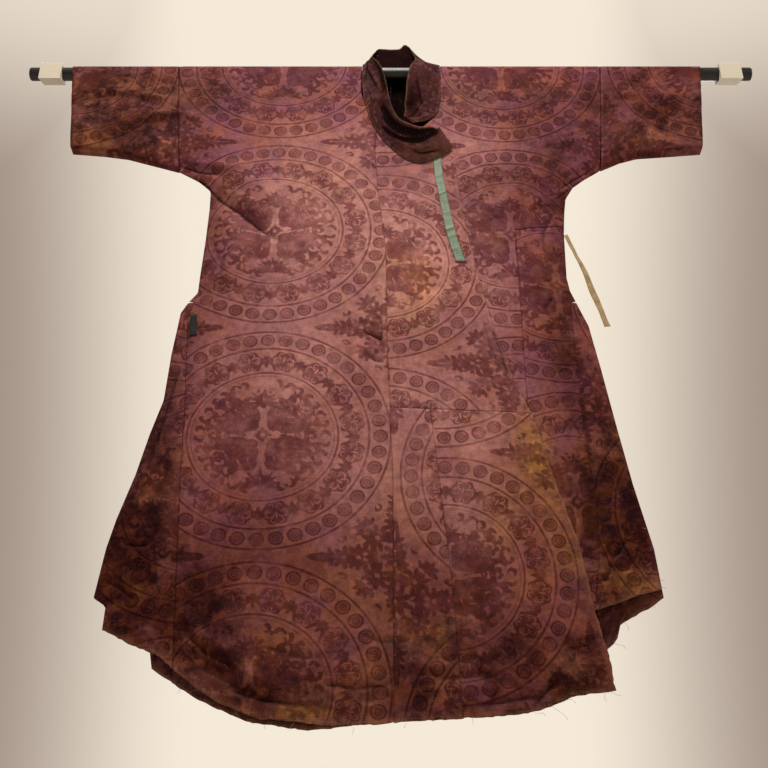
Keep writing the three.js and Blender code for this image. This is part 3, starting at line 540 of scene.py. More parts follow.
# Dark spots: soiling, and painted shade over both sleeves, front and back. Along the hems and the lower sides
# they paint both soiling and shade.
DARK_SPOTS = [
    (FRONT, -430, -1111, 14, 11, 2.2), (FRONT, -437, -1192, 13, 13, 2.2), (FRONT, -425, -1066, 18, 10, 2.4),
    (FRONT, -391, -1118, 10, 16, 1.4), (FRONT, -260, -1260, 34, 15, 1.3), (FRONT, -316, -1241, 26, 14, 1.3),
    (FRONT, 343, -1022, 22, 30, 1.2), (FRONT, 368, -1066, 26, 26, 1.0), (FRONT, 285, -1225, 26, 20, 1.2),
    (FRONT, -102, -1092, 26, 34, 0.5), (FRONT, -400, -1022, 16, 30, 1.0), (FRONT, -376, -930, 18, 34, 0.6),
    (FRONT, 385, -930, 16, 26, 0.8), (FRONT, 328, -350, 22, 30, 0.6),
    (FRONT, -460, -1000, 60, 190, 1.5), (FRONT, -430, -1140, 110, 90, 1.5), (FRONT, -400, -780, 50, 150, 0.8),
    (FRONT, -320, -1180, 110, 90, 0.8), (FRONT, -120, -1300, 280, 70, 0.6), (FRONT, 180, -1290, 190, 100, 1.0),
    (FRONT, 350, -1060, 60, 160, 1.2), (FRONT, 400, -950, 50, 160, 1.5), (FRONT, 330, -800, 50, 110, 0.7),
    (FRONT, -560, -130, 170, 150, 1.25), (FRONT, -420, -60, 150, 70, 0.5), (FRONT, 560, -120, 170, 150, 1.2),
    (FRONT, -200, -1060, 130, 110, 0.45), (FRONT, 70, -1130, 130, 120, 0.35), (FRONT, 0, -60, 420, 50, 0.4),
    (FRONT, -352, -480, 26, 170, 0.7), (FRONT, 338, -440, 34, 150, 0.8), (FRONT, 310, -640, 40, 120, 0.7),
    (FRONT, 330, -200, 120, 160, 0.55), (FRONT, 190, -330, 90, 90, 0.3), (FRONT, -290, -560, 60, 60, 0.2),
    (FRONT, -219, -1303, 60, 24, 0.6), (FRONT, -434, -1092, 24, 40, 0.6), (FRONT, 255, -1300, 34, 24, 0.7),
    (BACK, -440, -980, 80, 200, 0.9), (BACK, 400, -980, 80, 180, 0.8), (BACK, 0, -1320, 320, 90, 0.9),
    (BACK, -560, -140, 170, 150, 0.8), (BACK, 560, -130, 170, 150, 0.8), (BACK, 0, -1050, 180, 150, 0.4),
    (BACK, 380, -1150, 60, 60, 0.5), (BACK, -430, -1180, 60, 50, 0.5),
]
# Pale spots: fading, and a painted pool of light on the middle of the chest, where the strongest spots lie.
PALE_AND_LIT_SPOTS = [
    (FRONT, 50, -545, 50, 70, 1.6), (FRONT, -170, -420, 150, 140, 0.95), (FRONT, -120, -250, 130, 100, 0.5),
    (FRONT, 50, -470, 110, 150, 1.1),
    (FRONT, -150, -740, 190, 180, 0.8), (FRONT, 110, -830, 120, 130, 0.8), (FRONT, 150, -230, 110, 110, 0.5),
    (FRONT, 110, -1020, 90, 90, 0.5), (FRONT, -60, -960, 120, 90, 0.4), (FRONT, 180, -560, 60, 120, 0.5),
    (BACK, 0, -300, 240, 200, 0.7), (BACK, 0, -760, 260, 220, 0.6),
]


def spots(x, z, face, table):
    """Sum of soft spots on one face, at places in millimetres."""
    total = np.zeros(np.shape(x))
    for side, sx, sz, wide, high, strength in table:
        if side == face:
            total += strength * np.exp(-(((x - sx) / wide) ** 2) - (((z - sz) / high) ** 2))
    return total


print("stains:", len(OCHRE_SPOTS) + len(DARK_SPOTS) + len(PALE_AND_LIT_SPOTS))

# %% [markdown]
# ## A cut piece as a thin closed shell
#
# Each piece is a grid of points on the flat cut, hung twice: once for the outer side of the cloth and once
# for the inner side, a millimetre behind. A Solidify modifier would also give thickness, but two hung grids
# let the cloth thin towards its seams, as turned and stitched edges do. The raw edges get uneven nicks from
# a seeded ripple.

# %% Join two grids of points into one closed piece of cloth
cloths = {}


def ripple(place, seed, pitch):
    """Smooth uneven wave from -1 to 1 along a line, the same at every run."""
    knots = np.random.default_rng(seed).uniform(-1, 1, 4096)
    t = np.abs(np.asarray(place, float)) / pitch + 7
    low = np.floor(t).astype(int) % 4095
    share = soft(t - np.floor(t))
    return knots[low] * (1 - share) + knots[low + 1] * share


def shell_faces(rows, columns, used, wrap):
    """Corner numbers of a closed shell's faces: both sides of the used cells, and their rims."""
    skin = rows * columns
    around = columns if wrap else columns - 1
    at = np.arange(skin).reshape(rows, columns)
    r, c = np.nonzero(used)
    n = (c + 1) % columns
    a, b, d, e = at[r, c], at[r + 1, c], at[r + 1, n], at[r, n]
    outer = np.stack([a, b, d, e], 1)
    inner = np.stack([a, e, d, b], 1) + skin
    fence = np.pad(used, 1)
    left = np.roll(used, 1, 1) if wrap else fence[1:-1, :-2]
    right = np.roll(used, -1, 1) if wrap else fence[1:-1, 2:]
    rims = []
    for open_side, p, q in ((fence[:-2, 1:-1], a, e), (fence[2:, 1:-1], d, b), (left, b, a), (right, e, d)):
        bare = ~open_side[r, c]
        rims.append(np.stack([p[bare], q[bare], q[bare] + skin, p[bare] + skin], 1))
    assert used.shape == (rows - 1, around)
    return np.concatenate([outer, inner]), np.concatenate(rims)


def build_shell(name, outer, inner, values, used=None, wrap=False):
    """A mesh object from two grids of points; values are grids of numbers that its points remember."""
    rows, columns = outer.shape[:2]
    if used is None:
        used = np.ones((rows - 1, columns if wrap else columns - 1), bool)
    sides, rims = shell_faces(rows, columns, used, wrap)
    faces = np.concatenate([sides, rims])
    points = np.concatenate([outer.reshape(-1, 3), inner.reshape(-1, 3)])
    kept, corners = np.unique(faces, return_inverse=True)
    faces = corners.reshape(-1, 4)
    points = points[kept]
    p = points[faces]
    volume = np.einsum("ij,ij->", p[:, 0], np.cross(p[:, 1], p[:, 2]) + np.cross(p[:, 2], p[:, 3]))
    if volume < 0:
        faces = faces[:, ::-1]
    mesh = bpy.data.meshes.new(name)
    mesh.from_pydata(points.tolist(), [], faces.tolist())
    smooth = np.ones(len(faces), bool)
    smooth[len(sides):] = False
    mesh.polygons.foreach_set("use_smooth", smooth)
    corner_points = np.zeros(len(mesh.loops), np.int32)
    mesh.loops.foreach_get("vertex_index", corner_points)
    layer = mesh.uv_layers.new(name="cut")
    values = dict(values)
    outer_shade = values.pop("outer shade", np.zeros((rows, columns)))
    inner_shade = values.pop("inner shade", np.ones((rows, columns)))
    doubled = {key: np.tile(grid.reshape(-1), 2)[kept] for key, grid in values.items()}
    doubled["shade"] = np.concatenate([outer_shade.reshape(-1), inner_shade.reshape(-1)])[kept]
    uv = np.stack([doubled.pop("u"), doubled.pop("v")], 1)[corner_points]
    layer.uv.foreach_set("vector", uv.astype(np.float32).ravel())
    for key, numbers in doubled.items():
        mesh.attributes.new(key, "FLOAT", "POINT").data.foreach_set("value", numbers.astype(np.float32))
    piece = bpy.data.objects.new(name, mesh)
    scene.collection.objects.link(piece)
    cloths[name] = piece
    return piece


# %% Lay out a cut piece between its lines
SPACING = {-1: 3.6, 1: 6.5}                # millimetres between points, on the front and on the back
OUTSIDE = 1.3                             # the cloth's outer side, within the solid's wall
INSIDE = 0.3
HALF_SEAM = 0.02
FAR_FROM_SEAM = 60.0
MEET_ROUNDS, MEET_STEP = 30, 0.7


def cut_rows(lines, spacing):
    """Lines across the cut, close enough together for fine creases."""
    rows = [lines[0]]
    for above, below in zip(lines, lines[1:]):
        gap = max(float(below(x) - above(x)) for x in (-300.0, 0.0, 300.0))
        steps = max(2, round(gap / spacing), 8 if gap < 30 else 0)
        rows += [lambda x, a=above, b=below, t=k / steps: a(x) + (b(x) - a(x)) * t for k in range(1, steps + 1)]
    return rows


def meet(row, down):
    """x where a line across the cut meets a line down it."""
    x = float(down(0.0))
    for _ in range(MEET_ROUNDS):
        x += MEET_STEP * (float(down(float(row(x)))) - x)
    return x


def cut_grid(lines, edges, spacing):
    """x and drop of a grid over a cut piece, and the number of columns in each of its bands."""
    rows = cut_rows(lines, spacing)
    meets = np.array([[meet(row, edge) for edge in edges] for row in rows])
    meets[:, 0] += HALF_SEAM
    meets[:, -1] -= HALF_SEAM
    columns = [max(4, round(np.diff(meets[:, [b, b + 1]]).max() / spacing)) for b in range(len(edges) - 1)]
    bands = [
        np.linspace(meets[:, b], meets[:, b + 1], n, endpoint=False, axis=1) for b, n in enumerate(columns)
    ]
    x = np.concatenate(bands + [meets[:, -1:]], axis=1)
    drop = np.stack([row(x[i]) for i, row in enumerate(rows)])
    return x, drop, columns


def flat_area(x, drop, used):
    """Area of the flat cut in square metres."""
    wide = (x[:-1, 1:] - x[:-1, :-1] + x[1:, 1:] - x[1:, :-1]) / 2
    tall = (drop[1:, :-1] - drop[:-1, :-1] + drop[1:, 1:] - drop[:-1, 1:]) / 2
    return float((wide * tall)[used].sum()) / 1e6


def cloth_values(x, drop, z, face, motif, seam):
    """What every point of the silk remembers for its colour."""
    stretch = motif[2] if len(motif) > 2 else 1.0
    u, v = (x - motif[0]) / stretch, motif[1] - drop
    return {
        "u": u / 1000, "v": v / 1000, "leaf": leafwork(u, v), "seam": seam,
        "ochre": spots(x, z, face, OCHRE_SPOTS), "dark": spots(x, z, face, DARK_SPOTS),
        "pale": spots(x, z, face, PALE_AND_LIT_SPOTS),
    }


def cut_piece(name, node, lines, edges, face, motif, lap=0.0, free="", side="", upper_band=0):
    """One cut piece of the body. free names its raw edges, side the edge at the robe's side seam."""
    x, drop, columns = cut_grid(lines, edges, SPACING[face])
    rows = len(x)
    used = np.ones((rows - 1, x.shape[1] - 1), bool)
    if upper_band:
        middle = drop[:, -1] >= upper_band
        used[middle[:-1], columns[0]:] = False
    area, width, length = flat_area(x, drop, used), np.ptp(x), np.ptp(drop)
    seam = np.full(x.shape, FAR_FROM_SEAM)
    frays = np.zeros(x.shape)
    edge_distance = {
        "left": x - x[:, :1], "right": x[:, -1:] - x,
        "top": drop - drop[:1], "bottom": drop[-1:] - drop,
    }
    dip = np.zeros(x.shape)
    seed = sum(map(ord, name))
    for k, (edge, distance) in enumerate(edge_distance.items()):
        if edge in free:
            upright = edge in ("left", "right")
            run = drop if upright else x
            nick = 0.9 * ripple(run, seed + k, 6) + 1.1 * ripple(run, seed + k + 9, 23)
            pull = nick * np.exp(-distance / 5)
            frays = np.maximum(frays, np.exp(-distance / (3 if edge == "right" else 5)))
            if upright:
                x = x + pull
            else:
                drop = drop + pull
        elif not (edge == "top" and lines[0] in (SHOULDER, back_neck)):
            seam = np.minimum(seam, distance)
            dip = np.maximum(dip, (0.9 if edge in side else 0.25) * np.exp(-((distance / 3.0) ** 2)))
    pucker = 0.35 * ripple(drop + x, seed, 9) * np.exp(-((seam - 6) / 5) ** 2)
    lift = 0.25 * ripple(x * 1.3 + drop, seed + 3, 14) * frays
    outer = hang(x, drop, face, OUTSIDE - dip + pucker + lift, lap)
    inner = hang(x, drop, face, INSIDE + np.minimum(0, pucker) + lift, lap)
    values = cloth_values(x, drop, ARC - drop, face, motif, seam)
    values["fray"] = 0.4 * frays
    values["outer shade"] = slits(x, ARC - drop, face)
    if face == BACK:
        values["inner shade"] = 0.8 + 1.2 * np.exp(-(((x - 22) / 100) ** 2) - ((drop - 80) / 120) ** 2)
    piece = build_shell(name, outer, inner, values, used)
    finish_cloth(piece, node, (width / 1000, length / 1000), area)
    return piece


def finish_cloth(piece, node, flat, area):
    """What every sheet of cloth says about itself."""
    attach(piece, "root")
    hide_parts(node)
    print(piece.name, "flat", round(flat[0], 3), "x", round(flat[1], 3), "m, area", round(area, 3))


# %% [markdown]
# ## The body of the robe
#
# The right front runs from shoulder to hem, with a gore let into its side and a pieced overlap beyond the
# centre seam. The left front lies under it. Its outer part was mended with a side piece below a cross seam.
# The back has a centre seam and two gores. Each piece has its own place in the woven pattern, so the
# roundels break at the seams.

# %% Lines across, from the shoulder to each hem
SHOULDER = level(0)
AROUND_ROD = level(ARC)
OUTER = [
    SHOULDER, AROUND_ROD, level(OVERLAP_TOP), level(GORE_TOP), table_line(CROSS_SEAM), table_line(HEM_OUTER),
]
UNDER = [
    SHOULDER, AROUND_ROD, level(UNDER_NECK_END), table_line(PATCH_TOP), level(GORE_TOP), table_line(HEM_UNDER),
]
BEHIND = [back_neck, AROUND_ROD, level(GORE_TOP), table_line(HEM_BACK)]
MOTIF_RIGHT = (-223, 888, 1.055)         # x and drop of a roundel's middle, and how far the cloth is stretched
MOTIF_LEFT = (229, 14)

# %% Right front, its gore and the overlap
seam_right, seam_left = table_line(GORE_SEAM_RIGHT), table_line(GORE_SEAM_LEFT)
centre, strip_line, patch_line = table_line(CENTRE_SEAM), table_line(STRIP_SEAM), table_line(PATCH_SEAM)
free_edge = table_line(OVERLAP_EDGE)

cut_piece("right_front", "front_right_body", OUTER, [joined(side_right, seam_right, GORE_TOP), neck_and_centre],
          FRONT, MOTIF_RIGHT, LAP, free="bottom", side="left")
cut_piece("right_front_gore", "front_right_gore", OUTER[3:], [side_right, seam_right],
          FRONT, (-330, 1010), LAP, free="bottom top", side="left")
OVERLAP_NECK = [(-33, 190), (-28, 200), (-10, 226), (8, 243), (40, 248)]   # hidden under the collar flap
cut_piece("overlap_top_piece", "overlap_upper", [table_line(OVERLAP_NECK), level(300)] + OUTER[3:5],
          [neck_and_centre, free_edge],
          FRONT, (-16, 522), LAP, free="right top")
cut_piece("overlap_narrow_strip", "overlap_strip", OUTER[4:], [centre, strip_line],
          FRONT, (224, 964), LAP, free="bottom")
cut_piece("overlap_low_piece", "overlap_lower", OUTER[4:], [strip_line, free_edge],
          FRONT, (89, 1141), LAP, free="bottom right")

# %% Left front under the overlap
SEAM_GAP = 0.3
cut_piece("left_front", "front_left_body", UNDER, [neck_and_under_edge, patch_line, side_left],
          FRONT, MOTIF_LEFT, free="bottom", side="right", upper_band=427)
cut_piece("left_front_side_piece", "front_left_side", UNDER[3:],
          [lambda drop: patch_line(drop) + SEAM_GAP, joined(side_left, seam_left, GORE_TOP)],
          FRONT, (309, 570), free="bottom")
cut_piece("left_front_gore", "front_left_gore", UNDER[4:], [seam_left, side_left],
          FRONT, (545, 1033), free="bottom top", side="right")

# %% The two backs and their gores
back_seam_right, back_seam_left = table_line(BACK_GORE_RIGHT), table_line(BACK_GORE_LEFT)
centre_back = table_line(CENTRE_BACK)
cut_piece("right_back", "back_right_body", BEHIND, [joined(side_right, back_seam_right, GORE_TOP), centre_back],
          BACK, (-218, 26), free="bottom", side="left")
cut_piece("left_back", "back_left_body", BEHIND, [centre_back, joined(side_left, back_seam_left, GORE_TOP)],
          BACK, (218, 26), free="bottom", side="right")
cut_piece("right_back_gore", "back_right_gore", BEHIND[2:], [table_line(SIDE_RIGHT), back_seam_right],
          BACK, (-560, 1000), free="bottom", side="left")
cut_piece("left_back_gore", "back_left_gore", BEHIND[2:], [back_seam_left, table_line(BACK_SIDE_LEFT)],
          BACK, (545, 1000), free="bottom", side="right")

# %% [markdown]
# ## The sleeves
#
# A sleeve is one short width, folded over the rod and closed under the arm. Its rings lean, because the
# seam and the cuff both slant. It is a grid that closes on itself, so the same shell builder makes it as a
# tube with two open ends.

# %% Sleeve rings: x at the fold, x at the underarm, its drop, half depth there, half depth above, rounding
RIGHT_RINGS = [
    (-668, -642, 234, 10, 15.5, 26), (-603, -576, 242, 8.5, 15, 34), (-554, -527, 252, 6, 14.8, 46),
    (-519, -492, 265, 4, 14.8, 60), (-470, -444, 282, 2, 14.8, 76), (-446, -421, 290, 1.4, 14.8, 80),
]
LEFT_RINGS = [
    (441, 417, 286, 1.4, 14.8, 80), (478, 457, 265, 2, 14.8, 70), (515, 493, 252, 4, 14.8, 54),
    (583, 556, 244, 7, 15, 36), (650, 624, 235, 10, 15.5, 26),
]
CLOTH = 1.4                               # thickness of the solid's wall
SLEEVE_ROWS, ROW_STEP = 48, 4.8           # rings of points along a sleeve, and the millimetres between them
OVER_ROD, DOWN_CLOTH = 8, 50              # points over the rod, and from the rod to the underarm


def sleeve_grid(rings, places, out):
    """Points round a sleeve's rings, with x and drop of each: down the front, under the arm and up the back."""
    table = np.array(rings, float)
    numbers = np.arange(len(table))
    top, under, depth, base, half_below, rounding = (
        np.interp(places, numbers, column)[:, None] for column in table.T)
    low = depth - CLOTH + out
    over = np.linspace(0, 1, OVER_ROD + 1)[:-1] * ARC + np.zeros_like(low)
    below = ARC + (low - ARC) * np.linspace(0, 1, DOWN_CLOTH)
    drop = np.concatenate([over, below], axis=1)
    x = top + (under - top) * drop / low
    z = ARC - drop
    grids = []
    for face in (FRONT, BACK):
        turn = np.minimum(drop, ARC) / ROD_FOLD
        half = ROD_FOLD + (half_below - ROD_FOLD) * soft(-z / 90) + swell(x, z, face)
        full = np.sqrt(1 - (1 - np.clip((low - drop) / rounding, 0, 1)) ** 2)
        y = np.where(drop < ARC, (ROD_FOLD + out) * np.sin(turn), base + (half - base) * full + out)
        height = np.where(drop < ARC, (ROD_FOLD + out) * np.cos(turn), z)
        grids.append(np.stack([x, face * y, height, drop, x * 0 + face], -1))
    front, back = grids
    return np.concatenate([front, back[:, ::-1][:, :-1]], axis=1)


def sleeve(name, node, rings, shift, motif):
    """One sleeve as a closed tube of cloth."""
    places = np.linspace(0, len(rings) - 1, SLEEVE_ROWS)
    outer = sleeve_grid(rings, places, OUTSIDE)
    inner = sleeve_grid(rings, places, INSIDE)
    x, drop, face = outer[..., 0], outer[..., 3], outer[..., 4]
    cuff_first = abs(rings[0][0]) > abs(rings[-1][0])
    row = np.arange(len(places))[:, None] + 0 * x
    from_seam = (len(places) - 1 - row if cuff_first else row) * ROW_STEP
    from_cuff = (row if cuff_first else len(places) - 1 - row) * ROW_STEP
    seam = np.minimum(from_seam, FAR_FROM_SEAM)
    low = drop.max(axis=1, keepdims=True)
    seam = np.minimum(seam, low - drop + 2)
    sign = -1 if cuff_first else 1
    nick = sign * (0.5 * ripple(drop * face, 51, 9) + 0.5) * np.exp(-from_cuff / 6)
    z = ARC - drop
    values = cloth_values(x, drop, z, FRONT, motif, seam)
    behind = cloth_values(x, drop, z, BACK, motif, seam)
    values = {key: np.where(face < 0, grid, behind[key]) for key, grid in values.items()}
    outer_points, inner_points = outer[..., :3] / 1000, inner[..., :3] / 1000
    outer_points[..., 0] += (shift + nick) / 1000
    inner_points[..., 0] += (shift + nick) / 1000
    outer_points[..., 1] -= face * 0.5 * np.exp(-((from_seam / 3.5) ** 2)) / 1000
    piece = build_shell(name, outer_points, inner_points, values, wrap=True)
    width = abs(rings[0][0] - rings[-1][0]) / 1000
    around = 2 * float(drop.max()) / 1000
    area = width * 2 * float(np.mean(low)) / 1000
    finish_cloth(piece, node, (around, width * 1.02), min(area, around * width))
    return piece


sleeve("right_sleeve", "sleeve_right", RIGHT_RINGS, -0.3, (-653, 26))
sleeve("left_sleeve", "sleeve_left", LEFT_RINGS, 0.3, (664, 14))

# %% [markdown]
# ## The collar
#
# The collar is one long band, sewn to the neck edge and standing free at its other edge. It has gone soft
# and crumpled: it falls forward over the front, stands up behind the neck, and ends in a rounded flap. Its
# two edges are smooth curves through the rows of a table, and the cloth between them gets its own creases
# across the band.

# %% Collar rows: sewn edge x, y, z and free edge x, y, z
COLLAR = [
    (124, -21.5, -220, 97, -25, -170), (109, -21.5, -237, 91, -25.5, -173),
    (81, -21.4, -252, 79, -26, -169), (57, -19.5, -260, 58, -26, -170),
    (30, -19.5, -250, 34, -26, -160), (8, -19.6, -229, 18, -26, -149),
    (-10, -19.7, -208, 6, -26, -127), (-28, -19.9, -177, -2, -26, -97),
    (-42, -20, -142, -6, -26, -70), (-55, -19.8, -90, -10, -25.5, -42),
    (-58.5, -18.3, -50, -16, -24.5, -13), (-59, -17.6, -17, -24, -20, 12),
    (-59, -14.5, 9, -32, -13, 30), (-59, -8, 16.5, -38, -4, 46),
    (-59, 1, 18.4, -37, 4, 62), (-59, 9.5, 16, -32, 11, 77),
    (-54, 17.5, 6, -26, 17, 91), (-42, 17.7, -4, -12, 20.5, 94),
    (-8, 17.7, -11, 4, 21.3, 94), (26, 17.7, -12, 20, 21.3, 96),
    (62, 17.7, -5, 30, 20.5, 107), (88, 17.6, 6, 40, 17, 97),
    (102.6, 9.5, 16, 46, 10, 74), (102.9, 0, 18.2, 51, 1, 50),
    (102.9, -8, 16.5, 52, -7, 36), (102.9, -14.5, 9, 48, -14, 22),
    (102, -17.6, -8, 40, -20, 0), (102, -17.4, -45, 33, -20.5, -40),
    (101, -17.3, -87, 31, -20.8, -80), (94, -17.2, -123, 28, -21, -101),
    (75, -17.2, -144, 29, -21, -122), (43, -17.3, -152, 26, -21, -137),
]
# Creases: place along the band in rows, share across it, half length in rows, half width of the share,
# slant, height in millimetres
COLLAR_CREASES = [
    (4.4, 0.73, 3.0, 0.125, -0.055, -4.4), (4.2, 0.93, 2.8, 0.05, -0.02, 1.4),
    (4.3, 0.60, 2.4, 0.03, -0.085, 1.6), (4.3, 0.50, 2.1, 0.05, -0.10, -2.8),
    (3.6, 0.36, 1.8, 0.06, -0.04, 1.4), (2.6, 0.26, 1.2, 0.03, 0.05, -0.9),
    (7.6, 0.45, 1.3, 0.05, -0.12, 1.8), (8.4, 0.34, 1.2, 0.04, -0.14, -1.6),
    (9.2, 0.62, 1.4, 0.05, -0.10, 1.6), (10.0, 0.46, 1.2, 0.035, -0.14, -2.0),
    (10.8, 0.72, 1.3, 0.05, -0.06, 1.5), (11.4, 0.30, 1.1, 0.035, 0.12, -1.8),
    (12.2, 0.55, 1.2, 0.04, -0.16, -1.6), (12.9, 0.40, 1.0, 0.05, 0.1, 1.4),
    (13.6, 0.66, 1.1, 0.04, 0.12, -1.4), (26.6, 0.35, 1.3, 0.06, 0.12, 1.3),
    (27.6, 0.62, 1.2, 0.05, -0.1, -1.0), (28.8, 0.40, 1.2, 0.07, 0.08, 1.2),
    (30.0, 0.6, 1.0, 0.05, 0.05, -1.0),
]


def smooth_between(table, places):
    """Catmull-Rom curve through a table's rows."""
    rows = np.array(table, float)
    rows = np.concatenate([2 * rows[:1] - rows[1:2], rows, 2 * rows[-1:] - rows[-2:-1]])
    i = np.minimum(np.floor(places).astype(int), len(table) - 2)
    t = (places - i)[:, None]
    a, b, c, d = rows[i], rows[i + 1], rows[i + 2], rows[i + 3]
    return 0.5 * (2 * b + (c - a) * t + (2 * a - 5 * b + 4 * c - d) * t**2 + (3 * b - a - 3 * c + d) * t**3)


def band_grids(sewn, free, columns, thickness, bumps):
    """Outer and inner grids of a band between two curves, in millimetres."""
    share = np.linspace(0, 1, columns)[None, :, None]
    middle = sewn[:, None] * (1 - share) + free[:, None] * share
    along = np.gradient(middle, axis=0)
    across = (free - sewn)[:, None] + 0 * middle
    normal = np.cross(along, across)
    normal /= np.linalg.norm(normal, axis=-1, keepdims=True)
    middle = middle + normal * bumps[..., None]
    return middle + normal * thickness / 2, middle - normal * thickness / 2


COLLAR_THICKNESS = 1.2
COLLAR_PLACES = np.linspace(0, len(COLLAR) - 1, 260)
collar_edges = smooth_between(COLLAR, COLLAR_PLACES)
COLLAR_COLUMNS = 34
collar_share = np.linspace(0, 1, COLLAR_COLUMNS)[None, :]
place_grid = COLLAR_PLACES[:, None]
bumps = np.zeros((len(COLLAR_PLACES), COLLAR_COLUMNS))
for place, share, reach, width, slant, tall in COLLAR_CREASES:
    off = (collar_share - share - slant * (place_grid - place)) / width
    bumps += tall * np.exp(-(((place_grid - place) / reach) ** 4) - off**2)
in_front = 1 - soft((place_grid - 14) / 2) + soft((place_grid - 25) / 2)
bumps *= in_front * np.clip(np.sin(math.pi * collar_share), 0, 1) ** 0.4
collar_inner, collar_outer = band_grids(
    collar_edges[:, :3], collar_edges[:, 3:], COLLAR_COLUMNS, COLLAR_THICKNESS, -bumps)

# %% Collar mesh
collar_length = np.linalg.norm(np.diff((collar_edges[:, :3] + collar_edges[:, 3:]) / 2, axis=0), axis=1)
run = np.concatenate([[0], np.cumsum(collar_length)])
breadth = np.linalg.norm(collar_edges[:, 3:] - collar_edges[:, :3], axis=1)
run_grid, share_grid = run[:, None] + 0 * bumps, collar_share * breadth[:, None]
# Painted shade on the collar: a little all over, deep in its troughs, under the fold of its right part, and
# along the inner border of its free edge.
inner_border = soft((place_grid - 7.5) / 1.5) * (1 - soft((place_grid - 13) / 1.5))
flap = 1 - soft((place_grid - 6.5) / 1.5)
fold_shade = np.exp(-(((place_grid - 28.7) / 1.4) ** 2) - ((collar_share - 0.82) / 0.26) ** 2)
trough_shade = np.clip(-bumps * (0.6 + 1.1 * flap), 0, 1.8)
border_shade = 1.5 * inner_border * np.exp(-(((1 - collar_share) / 0.22) ** 2))
collar_shade = np.clip(0.85 + trough_shade + 0.9 * fold_shade + border_shade, 0, 1.85)
collar_values = {
    "u": run_grid / 1000, "v": share_grid / 1000, "leaf": leafwork(run_grid + 60, share_grid + 150),
    "seam": np.minimum(share_grid, FAR_FROM_SEAM) + 1, "ochre": 0.15 + 0 * run_grid, "pale": 0 * run_grid,
    "dark": 0.95 - 0.2 * soft((place_grid - 25) / 2) + 0 * run_grid,
    "outer shade": collar_shade, "inner shade": 1.75 + 0 * run_grid,
    "fray": 0.42 * np.exp(-((1 - collar_share) * breadth[:, None] / 1.5)) + 0.3 * np.exp(-share_grid / 1.3),
}
collar = build_shell("stand_collar", collar_outer / 1000, collar_inner / 1000, collar_values)
collar_area = float((breadth[1:] * collar_length).sum()) / 1e6
finish_cloth(collar, "collar", (float(breadth.max()) / 1000, float(run[-1]) / 1000), collar_area)

# %% [markdown]
# ## Ties and the loop remnant
#
# A green tie hangs from under the collar flap, flat on the front and creased across near its end. A narrow
# ochre tie hangs free from the side seam, twisted a little. A dark loop is worn down to a tab. They follow
# the cloth's own surface, moved out, so that they never sink into it.

# %% Ties that lie on the front
def plain_values(u, v, seam):
    """What the points of unfigured, unstained silk remember."""
    none = 0 * u
    return {"u": u / 1000, "v": v / 1000, "leaf": FAR_FROM_LEAF + none, "seam": seam,
            "ochre": none, "dark": none, "pale": none}


def flat_strap(name, node, table, lift, bumps):
    """A strap on the outer front, from its middle line of (x, z, width)."""
    places = np.linspace(0, len(table) - 1, 120)
    line = smooth_between(table, places)
    share = np.linspace(-0.5, 0.5, 9)[None, :]
    x = line[:, :1] + share * line[:, 2:3] + 0.25 * ripple(places * 40, len(name), 11)[:, None] * np.sign(share)
    z = line[:, 1:2] + 0 * x
    along = line[0, 1] - z
    height = bumps(along, share)
    surface = hang(x, ARC - z, FRONT, CLOTH + lift + 0.2 + height, LAP)
    under = hang(x, ARC - z, FRONT, CLOTH + lift + np.minimum(height, 0.4) * 0.5, LAP)
    from_edge = np.minimum(4, (0.5 - abs(share)) * line[:, 2:3])
    piece = build_shell(name, surface, under, plain_values(x, along, from_edge))
    length, width = float(along.max()), float(line[:, 2].max())
    area = length * float(line[:, 2].mean())
    finish_cloth(piece, node, (max(width, 10.5) / 1000, length / 1000), area / 1e6)
    return piece


NECK_TIE = [
    (91, -232, 15.5), (94, -290, 16), (99, -328, 16), (104, -365, 16.5), (109, -401, 17), (115, -437, 18),
    (130, -498, 18.5),
]
LOOP_TAB = [(-363, -612, 12), (-362, -628, 13), (-361, -644, 13), (-360, -658, 12)]
TIE_CREASES = [(60, 0.5), (102, 0.9), (150, 0.5), (188, 1.2), (196, -0.5), (206, 1.0), (236, 0.6)]


def tie_bumps(along, share):
    """Cross creases of the neck tie, slightly slanted."""
    height = 0.5 + 0 * (along + share)
    for place, tall in TIE_CREASES:
        height += tall * np.exp(-(((along - place + share * 7) / 2.6) ** 2))
    return height


def tab_bumps(along, share):
    """The frayed loop is crumpled all over."""
    return 1.5 + 0.6 * np.sin(along / 4.3 + share * 4) * np.cos(share * 4) + 0.4 * ripple(along * 5, 4, 31)


flat_strap("green_neck_tie", "neck_tie", NECK_TIE, 0.45, tie_bumps)
flat_strap("dark_loop_tab", "loop_tab", LOOP_TAB, 0.5, tab_bumps)

# %% The tie that hangs from the side seam
SIDE_TIE = [
    (335.2, -1, -423, 7), (350, 2, -464, 8), (366, 6, -505, 9), (376, 9, -544, 11), (387, 12, -578, 12),
    (399, 15, -622, 13),
]
TIE_ROWS, TIE_COLUMNS = 110, 7
tie_places = np.linspace(0, len(SIDE_TIE) - 1, TIE_ROWS)
tie_line = smooth_between(SIDE_TIE, tie_places)
tie_along = np.gradient(tie_line[:, :3], axis=0)
tie_across = np.stack([-tie_along[:, 2], 0 * tie_along[:, 0], tie_along[:, 0]], 1)
tie_across /= np.linalg.norm(tie_across, axis=1, keepdims=True)
twist = (0.35 * np.sin(tie_places * 1.7) + 0.12 * ripple(tie_places * 30, 5, 17))[:, None]
tie_across = tie_across * np.cos(twist) + np.array([0, 1.0, 0]) * np.sin(twist)
half_width = tie_line[:, 3:4] / 2
tie_bump = 0.35 * np.sin(np.linspace(0, 46, TIE_ROWS))[:, None] + np.zeros((1, TIE_COLUMNS))
